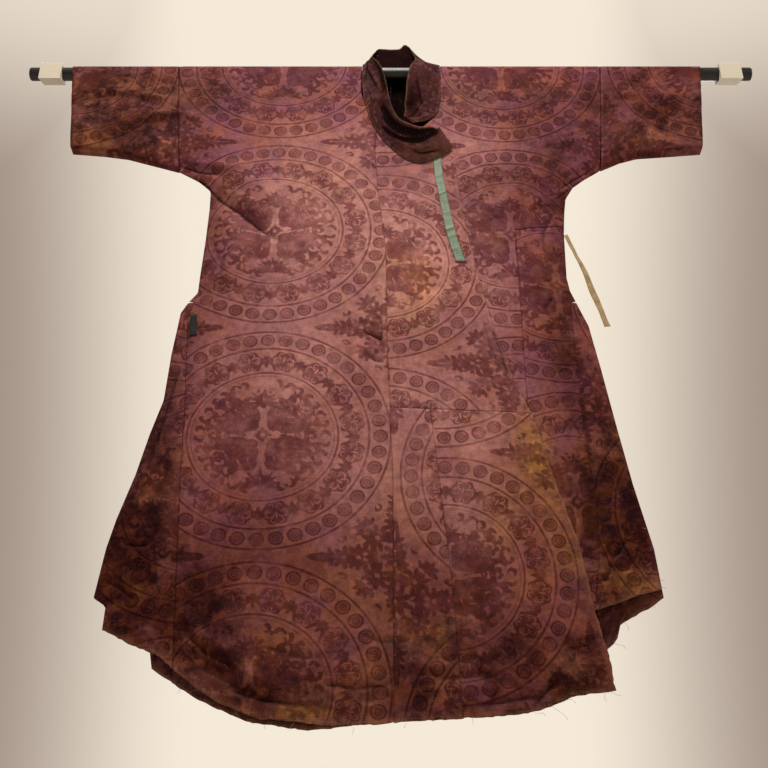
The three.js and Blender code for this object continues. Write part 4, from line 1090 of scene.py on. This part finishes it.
tie_outer, tie_inner = band_grids(
    tie_line[:, :3] - tie_across * half_width, tie_line[:, :3] + tie_across * half_width,
    TIE_COLUMNS, 1.0, tie_bump)
tie_run = np.concatenate([[0], np.cumsum(np.linalg.norm(np.diff(tie_line[:, :3], axis=0), axis=1))])
tie_u = np.linspace(-0.5, 0.5, TIE_COLUMNS)[None, :] * tie_line[:, 3:4] + 0 * tie_bump
tie_values = plain_values(tie_u, tie_run[:, None] + 0 * tie_u, 3 + 0 * tie_u)
side_tie = build_shell("ochre_side_tie", tie_outer / 1000, tie_inner / 1000, tie_values)
finish_cloth(side_tie, "side_tie", (0.013, float(tie_run[-1]) / 1000),
             float(tie_run[-1] * tie_line[:, 3].mean()) / 1e6)

# %% [markdown]
# ## Loose threads
#
# The raw hems shed threads. Each is a thin tube along a short wandering line that starts at the cloth. A
# handful in the right places says more about worn silk than any texture, so they are few. Most are on the
# frayed edges and some at a worn seam.

# %% Threads: face, x, z of the start, direction in degrees, length
THREADS = [
    (FRONT, 100, -818, -30, 16), (FRONT, 112, -826, 40, 13), (FRONT, 124, -836, -70, 15),
    (FRONT, 140, -848, 10, 14), (FRONT, 150, -858, -60, 12), (FRONT, 118, -868, 20, 12),
    (FRONT, 128, -879, -20, 10), (FRONT, 106, -838, -100, 11), (FRONT, 330, -1300, -35, 22),
    (FRONT, 324, -1304, -60, 16), (FRONT, 255, -1318, -20, 26), (FRONT, 240, -1324, -10, 34),
    (FRONT, 215, -1336, -28, 18), (FRONT, 120, -1345, -75, 10), (FRONT, 20, -1352, -100, 9),
    (FRONT, -60, -1358, -80, 12), (FRONT, -150, -1352, -110, 10), (FRONT, -240, -1334, -70, 14),
    (FRONT, -300, -1300, -120, 12), (FRONT, -372, -1240, -100, 10), (FRONT, -428, -1186, -130, 9),
    (FRONT, -474, -1150, -100, 8), (BACK, 372, -1186, -60, 16), (BACK, 352, -1222, -30, 20),
    (BACK, 300, -1262, -60, 14), (BACK, 410, -1160, -40, 14), (FRONT, 426, -1137, -20, 16),
    (FRONT, 431, -1120, 10, 10), (FRONT, 402, -960, 0, 11), (FRONT, 412, -1030, -15, 9),
    (FRONT, -372, -590, 160, 12), (FRONT, -366, -582, 130, 9), (FRONT, -378, -600, 200, 8),
    (BACK, -200, -1345, -80, 12), (BACK, 60, -1335, -100, 10), (BACK, -330, -1290, -110, 12),
]


def thread_tube(points, radius):
    """Square tube along points, with closed ends, as vertices and faces."""
    along = np.gradient(points, axis=0)
    side = np.cross(along, [0, 1.0, 0])
    side /= np.linalg.norm(side, axis=1, keepdims=True)
    other = np.array([[0, 1.0, 0]])
    ring = [points + radius * (side * c + other * s) for c, s in ((1, 0), (0, 1), (-1, 0), (0, -1))]
    corners = np.stack(ring, 1).reshape(-1, 3)
    faces = []
    for i in range(len(points) - 1):
        faces += [(4 * i + k, 4 * i + (k + 1) % 4, 4 * i + 4 + (k + 1) % 4, 4 * i + 4 + k) for k in range(4)]
    last = 4 * (len(points) - 1)
    return corners, faces + [(3, 2, 1, 0), (last, last + 1, last + 2, last + 3)]


THREAD_STEPS = 9
thread_points, thread_faces = [], []
for number, (face, x, z, direction, length) in enumerate(THREADS):
    steps = np.linspace(0, 1, THREAD_STEPS)
    bend = math.radians(direction) + 0.9 * ripple(steps * 60, 70 + number, 31)
    path_x = x + np.concatenate([[0], np.cumsum(np.cos(bend[1:]))]) * length / (THREAD_STEPS - 1)
    path_z = z + np.concatenate([[0], np.cumsum(np.sin(bend[1:]))]) * length / (THREAD_STEPS - 1)
    lap = LAP if x < 320 and face == FRONT else 0
    start_y = hang(np.array([float(x)]), np.array([ARC - z]), face, 0.8, lap)[0, 1]
    path_y = start_y * 1000 + face * 0.6 * steps + 0 * path_x
    corners, faces = thread_tube(np.stack([path_x, path_y, path_z], 1), 0.22)
    first = len(thread_points) * 4 * THREAD_STEPS
    thread_faces += [tuple(first + corner for corner in face_corners) for face_corners in faces]
    thread_points.append(corners)
thread_mesh = bpy.data.meshes.new("loose_threads")
thread_mesh.from_pydata((np.concatenate(thread_points) / 1000).tolist(), [], thread_faces)
threads = bpy.data.objects.new("loose_threads", thread_mesh)
scene.collection.objects.link(threads)
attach(threads, "root")
print("threads:", len(THREADS))

# %% [markdown]
# ## Node helpers
#
# Materials are built from small named steps. These helpers add one node and wire it, so that a line of code
# reads like a line of arithmetic.

# %% Small helpers for node trees
def rgb(code):
    """A colour from its usual six-digit code, in linear light."""
    values = [int(code[i:i + 2], 16) / 255 for i in (1, 3, 5)]
    return tuple(v / 12.92 if v <= 0.04045 else ((v + 0.055) / 1.055) ** 2.4 for v in values) + (1.0,)


def feed(tree, socket, value):
    """Wire another node's output into a socket, or set a constant on it."""
    if isinstance(value, bpy.types.NodeSocket):
        tree.links.new(value, socket)
    else:
        socket.default_value = value


def add_node(tree, kind, inputs=None, **settings):
    """One node, its settings, and its inputs by name or number."""
    made = tree.nodes.new("ShaderNode" + kind)
    for key, value in settings.items():
        setattr(made, key, value)
    for key, value in (inputs or {}).items():
        feed(tree, made.inputs[key], value)
    return made


def calc(tree, operation, *values, clamp=False):
    """A Math node's result."""
    return add_node(tree, "Math", dict(enumerate(values)), operation=operation, use_clamp=clamp).outputs[0]


def fade(tree, value, low, high, out_low=0.0, out_high=1.0):
    """A smooth step of a value between two limits."""
    made = add_node(tree, "MapRange", {"Value": value, "From Min": low, "From Max": high, "To Min": out_low,
                                       "To Max": out_high}, interpolation_type="SMOOTHSTEP")
    return made.outputs[0]


def noise(tree, vector, scale, detail=3.0, rough=0.55):
    """Noise from 0 to 1."""
    made = add_node(tree, "TexNoise", {"Vector": vector, "Scale": scale, "Detail": detail, "Roughness": rough})
    return made.outputs["Fac"]


def mapped(tree, vector, setting, values):
    """A place moved or stretched by a Mapping node."""
    return add_node(tree, "Mapping", {"Vector": vector, setting: values}).outputs[0]


def new_material(name):
    """An empty material, its node tree and its main shader."""
    material = bpy.data.materials.new(name)
    material.use_nodes = True
    return material, material.node_tree, material.node_tree.nodes["Principled BSDF"]


def ramp(tree, value, stops):
    """A grey ramp of (place, brightness) stops."""
    made = add_node(tree, "ValToRGB", {"Fac": value})
    elements = made.color_ramp.elements
    while len(elements) < len(stops):
        elements.new(0.5)
    for element, (place, grey) in zip(elements, stops):
        element.position = place
        element.color = (grey, grey, grey, 1)
    return made.outputs["Color"]


def mixed(tree, share, first, second, mode="MIX"):
    """The colour that a Mix node gives."""
    made = tree.nodes.new("ShaderNodeMix")
    made.data_type = "RGBA"
    made.blend_type = mode
    for place, value in ((0, share), (6, first), (7, second)):
        feed(tree, made.inputs[place], value)
    return made.outputs[2]


def new_group(name, inputs, outputs):
    """An empty shader group with its sockets, its input node and its output node."""
    tree = bpy.data.node_groups.new(name, "ShaderNodeTree")
    for label, kind in inputs:
        tree.interface.new_socket(label, in_out="INPUT", socket_type=kind)
    for label, kind in outputs:
        tree.interface.new_socket(label, in_out="OUTPUT", socket_type=kind)
    return tree, tree.nodes.new("NodeGroupInput"), tree.nodes.new("NodeGroupOutput")


def place_group(tree, group, inputs):
    """A group placed in a material, with its inputs set."""
    made = tree.nodes.new("ShaderNodeGroup")
    made.node_tree = group
    for key, value in inputs.items():
        feed(tree, made.inputs[key], value)
    return made


# %% [markdown]
# ## The roundel group
#
# Every roundel has three bands: pearls between an outer and a middle line, scrolled medallions between the
# middle and an inner line, and the field. All of it is polar: the angle is cut into equal parts, and one
# pearl or medallion is drawn in each part. A grey ramp over a distance draws several rings with a single
# node.

# %% Roundel pattern group
VECTOR, NUMBER = "NodeSocketVector", "NodeSocketFloat"
roundels, enter, leave = new_group("roundels", [("Place", VECTOR)], [("Figure", NUMBER), ("Lines", NUMBER)])
PITCH_M = PITCH / 1000
PEARLS, MEDALLIONS = 40, 16
PEARL_RADIUS, MEDALLION_RADIUS = 0.1925, 0.1485     # metres from the roundel's middle
BAND_INSIDE, BAND_OUTSIDE = 0.1260, 0.1715          # limits of the band of medallions
place = add_node(roundels, "SeparateXYZ", {0: enter.outputs[0]})
u = calc(roundels, "WRAP", place.outputs[0], PITCH_M / 2, -PITCH_M / 2)
v = calc(roundels, "WRAP", place.outputs[1], PITCH_M / 2, -PITCH_M / 2)


def hypot(tree, a, b):
    """Length of a pair of numbers."""
    return calc(tree, "SQRT", calc(tree, "MULTIPLY_ADD", a, a, calc(tree, "MULTIPLY", b, b)))


radius = hypot(roundels, u, v)
angle = calc(roundels, "ARCTAN2", v, u)
rings = ramp(roundels, calc(roundels, "MULTIPLY", radius, 4.0), [
    (0.4620, 0), (0.4670, 0.7), (0.4720, 0), (0.4850, 0), (0.4900, 1), (0.4980, 1), (0.5030, 0),
    (0.6870, 0), (0.6920, 1), (0.7020, 1), (0.7070, 0), (0.8290, 0), (0.8340, 1), (0.8440, 1), (0.8490, 0),
])


def band_cell(parts, middle, shift=0.0):
    """Place within one of the equal parts of a band: along it and across it."""
    step = 2 * math.pi / parts
    turn = calc(roundels, "WRAP", calc(roundels, "ADD", angle, shift * step), step / 2, -step / 2)
    return calc(roundels, "MULTIPLY", turn, radius), calc(roundels, "SUBTRACT", radius, middle)


pearl_u, pearl_v = band_cell(PEARLS, PEARL_RADIUS)
pearl = ramp(roundels, calc(roundels, "MULTIPLY", hypot(roundels, pearl_u, pearl_v), 50.0), [
    (0.0, 0.95), (0.07, 0.95), (0.11, 0.45), (0.15, 0.45), (0.20, 0.9), (0.31, 0.9), (0.36, 0.5), (0.41, 0.5),
    (0.46, 1), (0.60, 1), (0.65, 0),
])
inner_u, inner_v = band_cell(MEDALLIONS, MEDALLION_RADIUS, 0.5)
flat_u = calc(roundels, "ABSOLUTE", inner_u)
flower_r = hypot(roundels, calc(roundels, "MULTIPLY", inner_u, 0.80), inner_v)
flower_angle = calc(roundels, "ARCTAN2", inner_v, flat_u)
lobes = calc(roundels, "COSINE", calc(roundels, "MULTIPLY", flower_angle, 6.0))
body = calc(roundels, "SUBTRACT", flower_r, calc(roundels, "MULTIPLY_ADD", lobes, 0.0019, 0.0198))


def light_curl(x, y, size, half_line, open_x, open_y):
    """Distance past the edge of a thin C stroke, open towards one side; negative on the stroke."""
    off_x = calc(roundels, "SUBTRACT", flat_u, x)
    off_y = calc(roundels, "SUBTRACT", inner_v, y)
    ring = calc(roundels, "SUBTRACT", calc(
        roundels, "ABSOLUTE", calc(roundels, "SUBTRACT", hypot(roundels, off_x, off_y), size)), half_line)
    towards = calc(roundels, "MULTIPLY_ADD", off_x, open_x, calc(roundels, "MULTIPLY", off_y, open_y))
    return calc(roundels, "MAXIMUM", ring, calc(roundels, "SUBTRACT", towards, 0.35 * size))


curls = light_curl(0.0100, 0.0002, 0.0068, 0.0011, -0.8, -0.6)
for stroke in ((0.0104, -0.0006, 0.0028, 0.0009, -0.5, 0.9), (0.0062, 0.0126, 0.0040, 0.0009, -0.9, -0.4),
               (0.0060, -0.0134, 0.0036, 0.0009, 0.3, 0.95), (0.0178, 0.0086, 0.0034, 0.0008, -0.2, 1.0)):
    curls = calc(roundels, "MINIMUM", curls, light_curl(*stroke))
curls = calc(roundels, "MINIMUM", curls, calc(roundels, "SUBTRACT", hypot(
    roundels, calc(roundels, "MULTIPLY", flat_u, 4.0), calc(roundels, "SUBTRACT", inner_v, 0.004)), 0.0060))
gaps_u = calc(roundels, "SUBTRACT", 0.0290, flat_u)
buds = calc(roundels, "SUBTRACT", hypot(
    roundels, gaps_u, calc(roundels, "MULTIPLY", calc(roundels, "ADD", inner_v, 0.004), 0.36)), 0.0050)
scrolled = calc(roundels, "MAXIMUM", body, calc(roundels, "MULTIPLY", curls, -1.0))
solid = calc(roundels, "MINIMUM", scrolled, buds)
medallion = fade(roundels, solid, -0.0006, 0.0008, 1.0, 0.0)
in_band = calc(roundels, "MULTIPLY", calc(roundels, "GREATER_THAN", radius, BAND_INSIDE), calc(
    roundels, "LESS_THAN", radius, BAND_OUTSIDE))
drawn = calc(roundels, "MAXIMUM", pearl, calc(roundels, "MULTIPLY", medallion, in_band))
roundels.links.new(drawn, leave.inputs[0])
roundels.links.new(rings, leave.inputs[1])
print("roundel group:", len(roundels.nodes), "nodes")

# %% [markdown]
# ## The twill group and the ageing group
#
# Twill shows fine slanting ribs. At arm's length the eye sees only a faint grain and slightly darker and
# lighter threads, so the ribs go into a shallow bump and the uneven threads into a mask. Ageing breaks up
# everything: worn spots where the figure has almost gone, specks, and blotches with ragged edges.

# %% Twill weave group
twill, enter, leave = new_group("twill_weave", [("Place", VECTOR)], [("Height", NUMBER), ("Threads", NUMBER)])
RIB = 0.0012
place = add_node(twill, "SeparateXYZ", {0: enter.outputs[0]})
slant = calc(twill, "MULTIPLY_ADD", place.outputs[1], 1.6, place.outputs[0])
ribs = calc(twill, "SINE", calc(twill, "MULTIPLY", slant, 2 * math.pi / RIB))
warp_noise = noise(twill, mapped(twill, enter.outputs[0], "Scale", (900, 60, 1)), 1.0, 2.0)
weft_noise = noise(twill, mapped(twill, enter.outputs[0], "Scale", (40, 700, 1)), 1.0, 2.0)
ribbed = calc(twill, "MULTIPLY_ADD", ribs, 0.35, calc(twill, "ADD", warp_noise, weft_noise))
twill.links.new(ribbed, leave.inputs[0])
twill.links.new(calc(twill, "ADD", warp_noise, calc(twill, "SUBTRACT", weft_noise, 0.5)), leave.inputs[1])

# %% Ageing group
ageing, enter, leave = new_group(
    "ageing", [("Place", VECTOR)],
    [(label, NUMBER) for label in ("Wear", "Blotch", "Mottle", "Specks", "Hue", "Grime", "Ragged")])
wear = fade(ageing, noise(ageing, enter.outputs[0], 34.0, 4.0, 0.6), 0.36, 0.62)
blotch = noise(ageing, enter.outputs[0], 9.0, 6.0, 0.68)
mottle = noise(ageing, enter.outputs[0], 75.0, 4.0, 0.65)
specks = fade(ageing, noise(ageing, enter.outputs[0], 420.0, 1.0, 0.5), 0.735, 0.78)
hue = noise(ageing, mapped(ageing, enter.outputs[0], "Location", (3, 7, 5)), 15.0, 5.0, 0.7)
grime = noise(ageing, mapped(ageing, enter.outputs[0], "Location", (1, 4, 2)), 26.0, 6.0, 0.72)
ragged = noise(ageing, enter.outputs[0], 170.0, 3.0, 0.6)
for number, value in enumerate((wear, blotch, mottle, specks, hue, grime, ragged)):
    ageing.links.new(value, leave.inputs[number])

# %% [markdown]
# ## The silk itself
#
# The figure of the twill is a little darker and duller than its ground. Both colours then go through the
# same history: faded where it is pale, browned where it is ochre, and darkened by soiling to near black along
# the hems. The dark and pale spots also paint shade over the sleeves and a pool of light on the chest, and
# the remembered shade paints closed troughs, inner faces and the collar's folds near black.
# Roughness and a light sheen give the soft gleam of old silk.

# %% Silk material
GROUND, WARM, PALE = rgb("#794353"), rgb("#864a41"), rgb("#b07a74")
OCHRE, BARE_THREAD = rgb("#946439"), rgb("#b08662")
# Near-black maroon and brown, used for soiling and for painted shade alike
SOIL_AND_SHADE, SOIL_AND_SHADE_BROWN = rgb("#421719"), rgb("#4a2212")
SEAM_SHADE = (0.012, 0.004, 0.003, 1.0)
DEEP_SHADE = (0.006, 0.003, 0.003, 1.0)
FIGURE_TINT = (0.45, 0.32, 0.37, 1.0)     # the figure's share of the ground's red, green and blue


def remembered(tree, name):
    """A number that the cloth's points remember."""
    return add_node(tree, "Attribute", attribute_name=name).outputs["Fac"]


def patchy(tree, name, blotch, low, high, faint, strong):
    """Stains, fading, painted shade and painted light that the points remember, broken up by blotches."""
    return calc(tree, "MULTIPLY", remembered(tree, name), fade(tree, blotch, low, high, faint, strong))


def silk_material(name):
    """Figured silk twill with its wear, stains and weave."""
    material, tree, shader = new_material(name)
    cut = add_node(tree, "UVMap", uv_map="cut").outputs[0]
    spot = add_node(tree, "TexCoord").outputs["Object"]
    pattern = place_group(tree, roundels, {"Place": cut})
    weave = place_group(tree, twill, {"Place": cut})
    age = place_group(tree, ageing, {"Place": spot})
    leaf = calc(tree, "SUBTRACT", remembered(tree, "leaf"), 2.4)
    ragged = calc(tree, "MULTIPLY_ADD", age.outputs["Ragged"], 4.4, leaf)
    leaves = fade(tree, ragged, -0.8, 0.7, 1.0, 0.0)
    figure = calc(tree, "MAXIMUM", pattern.outputs["Figure"], pattern.outputs["Lines"])
    figure = calc(tree, "MAXIMUM", figure, leaves)
    figure = calc(tree, "MULTIPLY", figure, fade(tree, age.outputs["Wear"], 0.0, 1.0, 0.62, 1.0))
    threads_tone = fade(tree, weave.outputs["Threads"], 0.1, 0.9, 0.84, 1.14)
    blotch = age.outputs["Blotch"]
    pale = patchy(tree, "pale", blotch, 0.3, 0.62, 0.55, 1.15)
    ochre = patchy(tree, "ochre", blotch, 0.34, 0.64, 0.3, 1.25)
    dark = patchy(tree, "dark", blotch, 0.62, 0.4, 0.45, 1.15)
    plum = mixed(tree, fade(tree, age.outputs["Hue"], 0.38, 0.62), GROUND, WARM)
    ground = mixed(tree, calc(tree, "MINIMUM", pale, 1.0), plum, PALE)
    stained = mixed(tree, calc(tree, "MULTIPLY", ochre, 0.75, clamp=True), ground, OCHRE)
    # Soiling and painted shade: the dark spots turn the colour towards near-black maroon and brown.
    soil_and_shade = mixed(tree, fade(tree, age.outputs["Grime"], 0.42, 0.58), SOIL_AND_SHADE, SOIL_AND_SHADE_BROWN)
    soiled_and_shaded = mixed(tree, calc(tree, "MULTIPLY", dark, 0.8, clamp=True), stained, soil_and_shade)
    figured = mixed(tree, figure, soiled_and_shaded, FIGURE_TINT, "MULTIPLY")
    # Painted light: where the pale spots are strongest, on the chest, the colour is brightened past the pale
    # mauve.
    bleached_and_lit = mixed(tree, 1.0, figured, fade(tree, pale, 0.9, 1.9, 1.0, 1.3), "MULTIPLY")
    toned = mixed(tree, 1.0, bleached_and_lit, threads_tone, "MULTIPLY")
    mottled = mixed(tree, 1.0, toned, fade(tree, age.outputs["Mottle"], 0.3, 0.7, 0.76, 1.22), "MULTIPLY")
    grime = mixed(tree, 1.0, mottled, fade(tree, age.outputs["Grime"], 0.36, 0.62, 0.52, 1.36), "MULTIPLY")
    old = calc(tree, "MULTIPLY_ADD", ochre, 0.5, calc(tree, "MULTIPLY", dark, 0.75), clamp=True)
    worn = mixed(tree, old, mottled, grime)
    edge = calc(tree, "MULTIPLY", fade(tree, remembered(tree, "seam"), 0.2, 1.8, 0.3, 0.0), age.outputs["Wear"])
    seamed = mixed(tree, edge, worn, SEAM_SHADE)
    in_shade = calc(tree, "MULTIPLY", remembered(tree, "shade"), 0.55, clamp=True)
    shaded = mixed(tree, in_shade, seamed, DEEP_SHADE)
    loose = fade(tree, weave.outputs["Threads"], 0.3, 0.65, 0.1, 0.9)
    fringe = calc(tree, "MULTIPLY", remembered(tree, "fray"), loose, clamp=True)
    frayed = mixed(tree, fringe, shaded, BARE_THREAD)
    speckled = mixed(tree, calc(tree, "MULTIPLY", age.outputs["Specks"], 0.2), frayed, rgb("#c9a892"))
    tree.links.new(speckled, shader.inputs["Base Color"])
    lit = fade(tree, remembered(tree, "shade"), 0.3, 1.5, 1.0, 0.0)
    tree.links.new(calc(tree, "MULTIPLY", lit, 0.05), shader.inputs["Specular IOR Level"])
    tree.links.new(calc(tree, "MULTIPLY", lit, 0.03), shader.inputs["Sheen Weight"])
    shader.inputs["Sheen Tint"].default_value = rgb("#c08a80")
    shader.inputs["Sheen Roughness"].default_value = 0.45
    tree.links.new(fade(tree, figure, 0.0, 1.0, 0.56, 0.72), shader.inputs["Roughness"])
    fine, coarse = noise(tree, spot, 110.0, 4.0, 0.6), noise(tree, spot, 30.0, 5.0, 0.6)
    wrinkles = calc(tree, "MULTIPLY_ADD", fine, 0.3, coarse)
    crumple = calc(tree, "MULTIPLY_ADD", calc(tree, "MINIMUM", dark, 1.5), 0.004, 0.004)
    creased = calc(tree, "MULTIPLY", wrinkles, crumple)
    height = calc(tree, "MULTIPLY_ADD", weave.outputs["Height"], 0.00012, creased)
    height = calc(tree, "MULTIPLY_ADD", figure, -0.00015, height)
    bump = add_node(tree, "Bump", {"Height": height, "Strength": 0.45, "Distance": 1.0})
    tree.links.new(bump.outputs[0], shader.inputs["Normal"])
    return material


silk = silk_material("silk_twill_finish")


# %% Plain silks of the ties, the loop and the threads
def plain_silk(name, light, shade, roughness, sheen=0.2):
    """Unfigured silk: two tones by threads and mottling."""
    material, tree, shader = new_material(name)
    cut = add_node(tree, "UVMap", uv_map="cut").outputs[0]
    spot = add_node(tree, "TexCoord").outputs["Object"]
    weave = place_group(tree, twill, {"Place": cut})
    age = place_group(tree, ageing, {"Place": spot})
    mottle = calc(tree, "MULTIPLY", age.outputs["Mottle"], 0.5)
    tone = calc(tree, "MULTIPLY_ADD", weave.outputs["Threads"], 0.5, mottle)
    colour = mixed(tree, fade(tree, tone, 0.25, 0.65), shade, light)
    edge = fade(tree, remembered(tree, "seam"), 0.0, 1.2, 0.35, 0.0)
    tree.links.new(mixed(tree, edge, colour, shade), shader.inputs["Base Color"])
    shader.inputs["Roughness"].default_value = roughness
    shader.inputs["Sheen Weight"].default_value = sheen
    bump = add_node(tree, "Bump", {"Height": weave.outputs["Height"], "Strength": 0.35, "Distance": 0.00015})
    tree.links.new(bump.outputs[0], shader.inputs["Normal"])
    return material


green = plain_silk("green_silk_finish", rgb("#72866a"), rgb("#3f5140"), 0.6)
ochre_silk = plain_silk("ochre_silk_finish", rgb("#b09468"), rgb("#7d6338"), 0.6)
dark_silk = plain_silk("dark_silk_finish", rgb("#101116"), rgb("#060607"), 0.85, sheen=0.0)
for piece in cloths.values():
    piece.data.materials.append(silk)
for name, material in (("green_neck_tie", green), ("ochre_side_tie", ochre_silk), ("dark_loop_tab", dark_silk)):
    cloths[name].data.materials[0] = material


def thread_material():
    """Pale silk threads with a slight change of tone."""
    material, tree, shader = new_material("thread_finish")
    spot = add_node(tree, "TexCoord").outputs["Object"]
    tone = noise(tree, spot, 60.0)
    colour = mixed(tree, fade(tree, tone, 0.4, 0.6), rgb("#6a4636"), rgb("#bd9868"))
    tree.links.new(colour, shader.inputs["Base Color"])
    shader.inputs["Roughness"].default_value = 0.7
    return material


thread_mesh.materials.append(thread_material())

# %% [markdown]
# ## The rod and its hooks
#
# The rod and the hooks are hard parts, so their solids from the frame stay, and only get a finish: glossy
# black paint with a few fine scratches and dust on top, and matt white paint that is a little uneven.

# %% Paints
def paint(name, colour, worn_colour, roughness, coat):
    """Painted metal with faint unevenness and fine scuffs."""
    material, tree, shader = new_material(name)
    spot = add_node(tree, "TexCoord").outputs["Object"]
    stretched = mapped(tree, spot, "Scale", (8, 260, 260))
    scuffs = fade(tree, noise(tree, stretched, 1.0, 4.0, 0.6), 0.56, 0.74)
    cloudy = noise(tree, spot, 30.0, 3.0)
    scuffed = mixed(tree, calc(tree, "MULTIPLY", scuffs, 0.4), colour, worn_colour)
    tree.links.new(scuffed, shader.inputs["Base Color"])
    rough = calc(tree, "MULTIPLY_ADD", cloudy, 0.14, calc(tree, "MULTIPLY_ADD", scuffs, 0.12, roughness))
    tree.links.new(rough, shader.inputs["Roughness"])
    shader.inputs["Coat Weight"].default_value = coat
    shader.inputs["Coat Roughness"].default_value = 0.12
    bump = add_node(tree, "Bump", {"Height": cloudy, "Strength": 0.08, "Distance": 0.0008})
    tree.links.new(bump.outputs[0], shader.inputs["Normal"])
    return material


def repaint(node, material):
    """A new finish for a solid that stays."""
    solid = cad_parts[node]
    solid.data.materials.clear()
    solid.data.materials.append(material)


repaint("rod", paint("black_rod_paint", rgb("#0b0a0a"), rgb("#2b2826"), 0.34, 0.05))
for hook in ("hook_right", "hook_left"):
    repaint(hook, paint("white_hook_paint_" + hook[5:], rgb("#c2baa8"), rgb("#aaa290"), 0.5, 0.0))

# %% [markdown]
# ## Light, floor and background
#
# The robe hangs in front of a pale wall under soft, warm gallery light. A pale world, brighter in the
# middle than at the sides, stands for the wall, because a real wall would hide the robe from behind. A lamp
# in front and above, and a weaker one from the side, let the creases show. A third lights the back.

# %% World
world = bpy.data.worlds.new("pale_room")
scene.world = world
world.use_nodes = True
tree = world.node_tree
direction = add_node(tree, "TexCoord").outputs["Generated"]
parts = add_node(tree, "SeparateXYZ", {0: direction})
sideways = calc(tree, "ABSOLUTE", parts.outputs[0])
upwards = fade(tree, parts.outputs[2], 0.60, 0.74, 0.0, 0.8)
glow = calc(tree, "MAXIMUM", fade(tree, sideways, 0.15, 0.33, 1.0, 0.0), upwards)
wall = mixed(tree, glow, rgb("#a39387"), rgb("#f5e9d8"))
towards_wall = fade(tree, parts.outputs[1], -0.35, 0.15)
tree.links.new(mixed(tree, towards_wall, rgb("#a1968b"), wall), tree.nodes["Background"].inputs["Color"])
tree.nodes["Background"].inputs["Strength"].default_value = 1.0


# %% Lamps
def soft_lamp(name, place, target, size, power, colour):
    """A square area lamp that points at a place."""
    light = bpy.data.lights.new(name, "AREA")
    light.size = size
    light.energy = power
    light.color = colour
    lamp = bpy.data.objects.new(name, light)
    scene.collection.objects.link(lamp)
    lamp.location = place
    lamp.rotation_euler = (Vector(target) - Vector(place)).to_track_quat("-Z", "Y").to_euler()
    return lamp


soft_lamp("top_lamp", (-0.12, -1.2, 1.45), (0.0, 0, -0.55), 0.5, 56, (1.0, 0.95, 0.88))
soft_lamp("side_lamp", (2.2, -1.5, 0.2), (0.0, 0, -0.6), 0.8, 8, (1.0, 0.93, 0.86))
soft_lamp("back_lamp", (0.8, 2.6, 1.2), (0.0, 0, -0.6), 1.4, 60, (1.0, 0.97, 0.92))

# %% Pale floor below the view
bpy.ops.mesh.primitive_plane_add(size=12, location=(0, 0, -2.1))
floor = bpy.context.object
floor.name = "floor"
floor_material, _, floor_shader = new_material("pale_floor")
floor_shader.inputs["Base Color"].default_value = rgb("#d9d2c8")
floor_shader.inputs["Roughness"].default_value = 0.9
floor.data.materials.append(floor_material)

# %% [markdown]
# ## The view transform
#
# The picture is shown through the plain Standard view transform. The dressed robe has to stay as
# large as its solids.

# %% View transform
scene.view_settings.view_transform = "Standard"
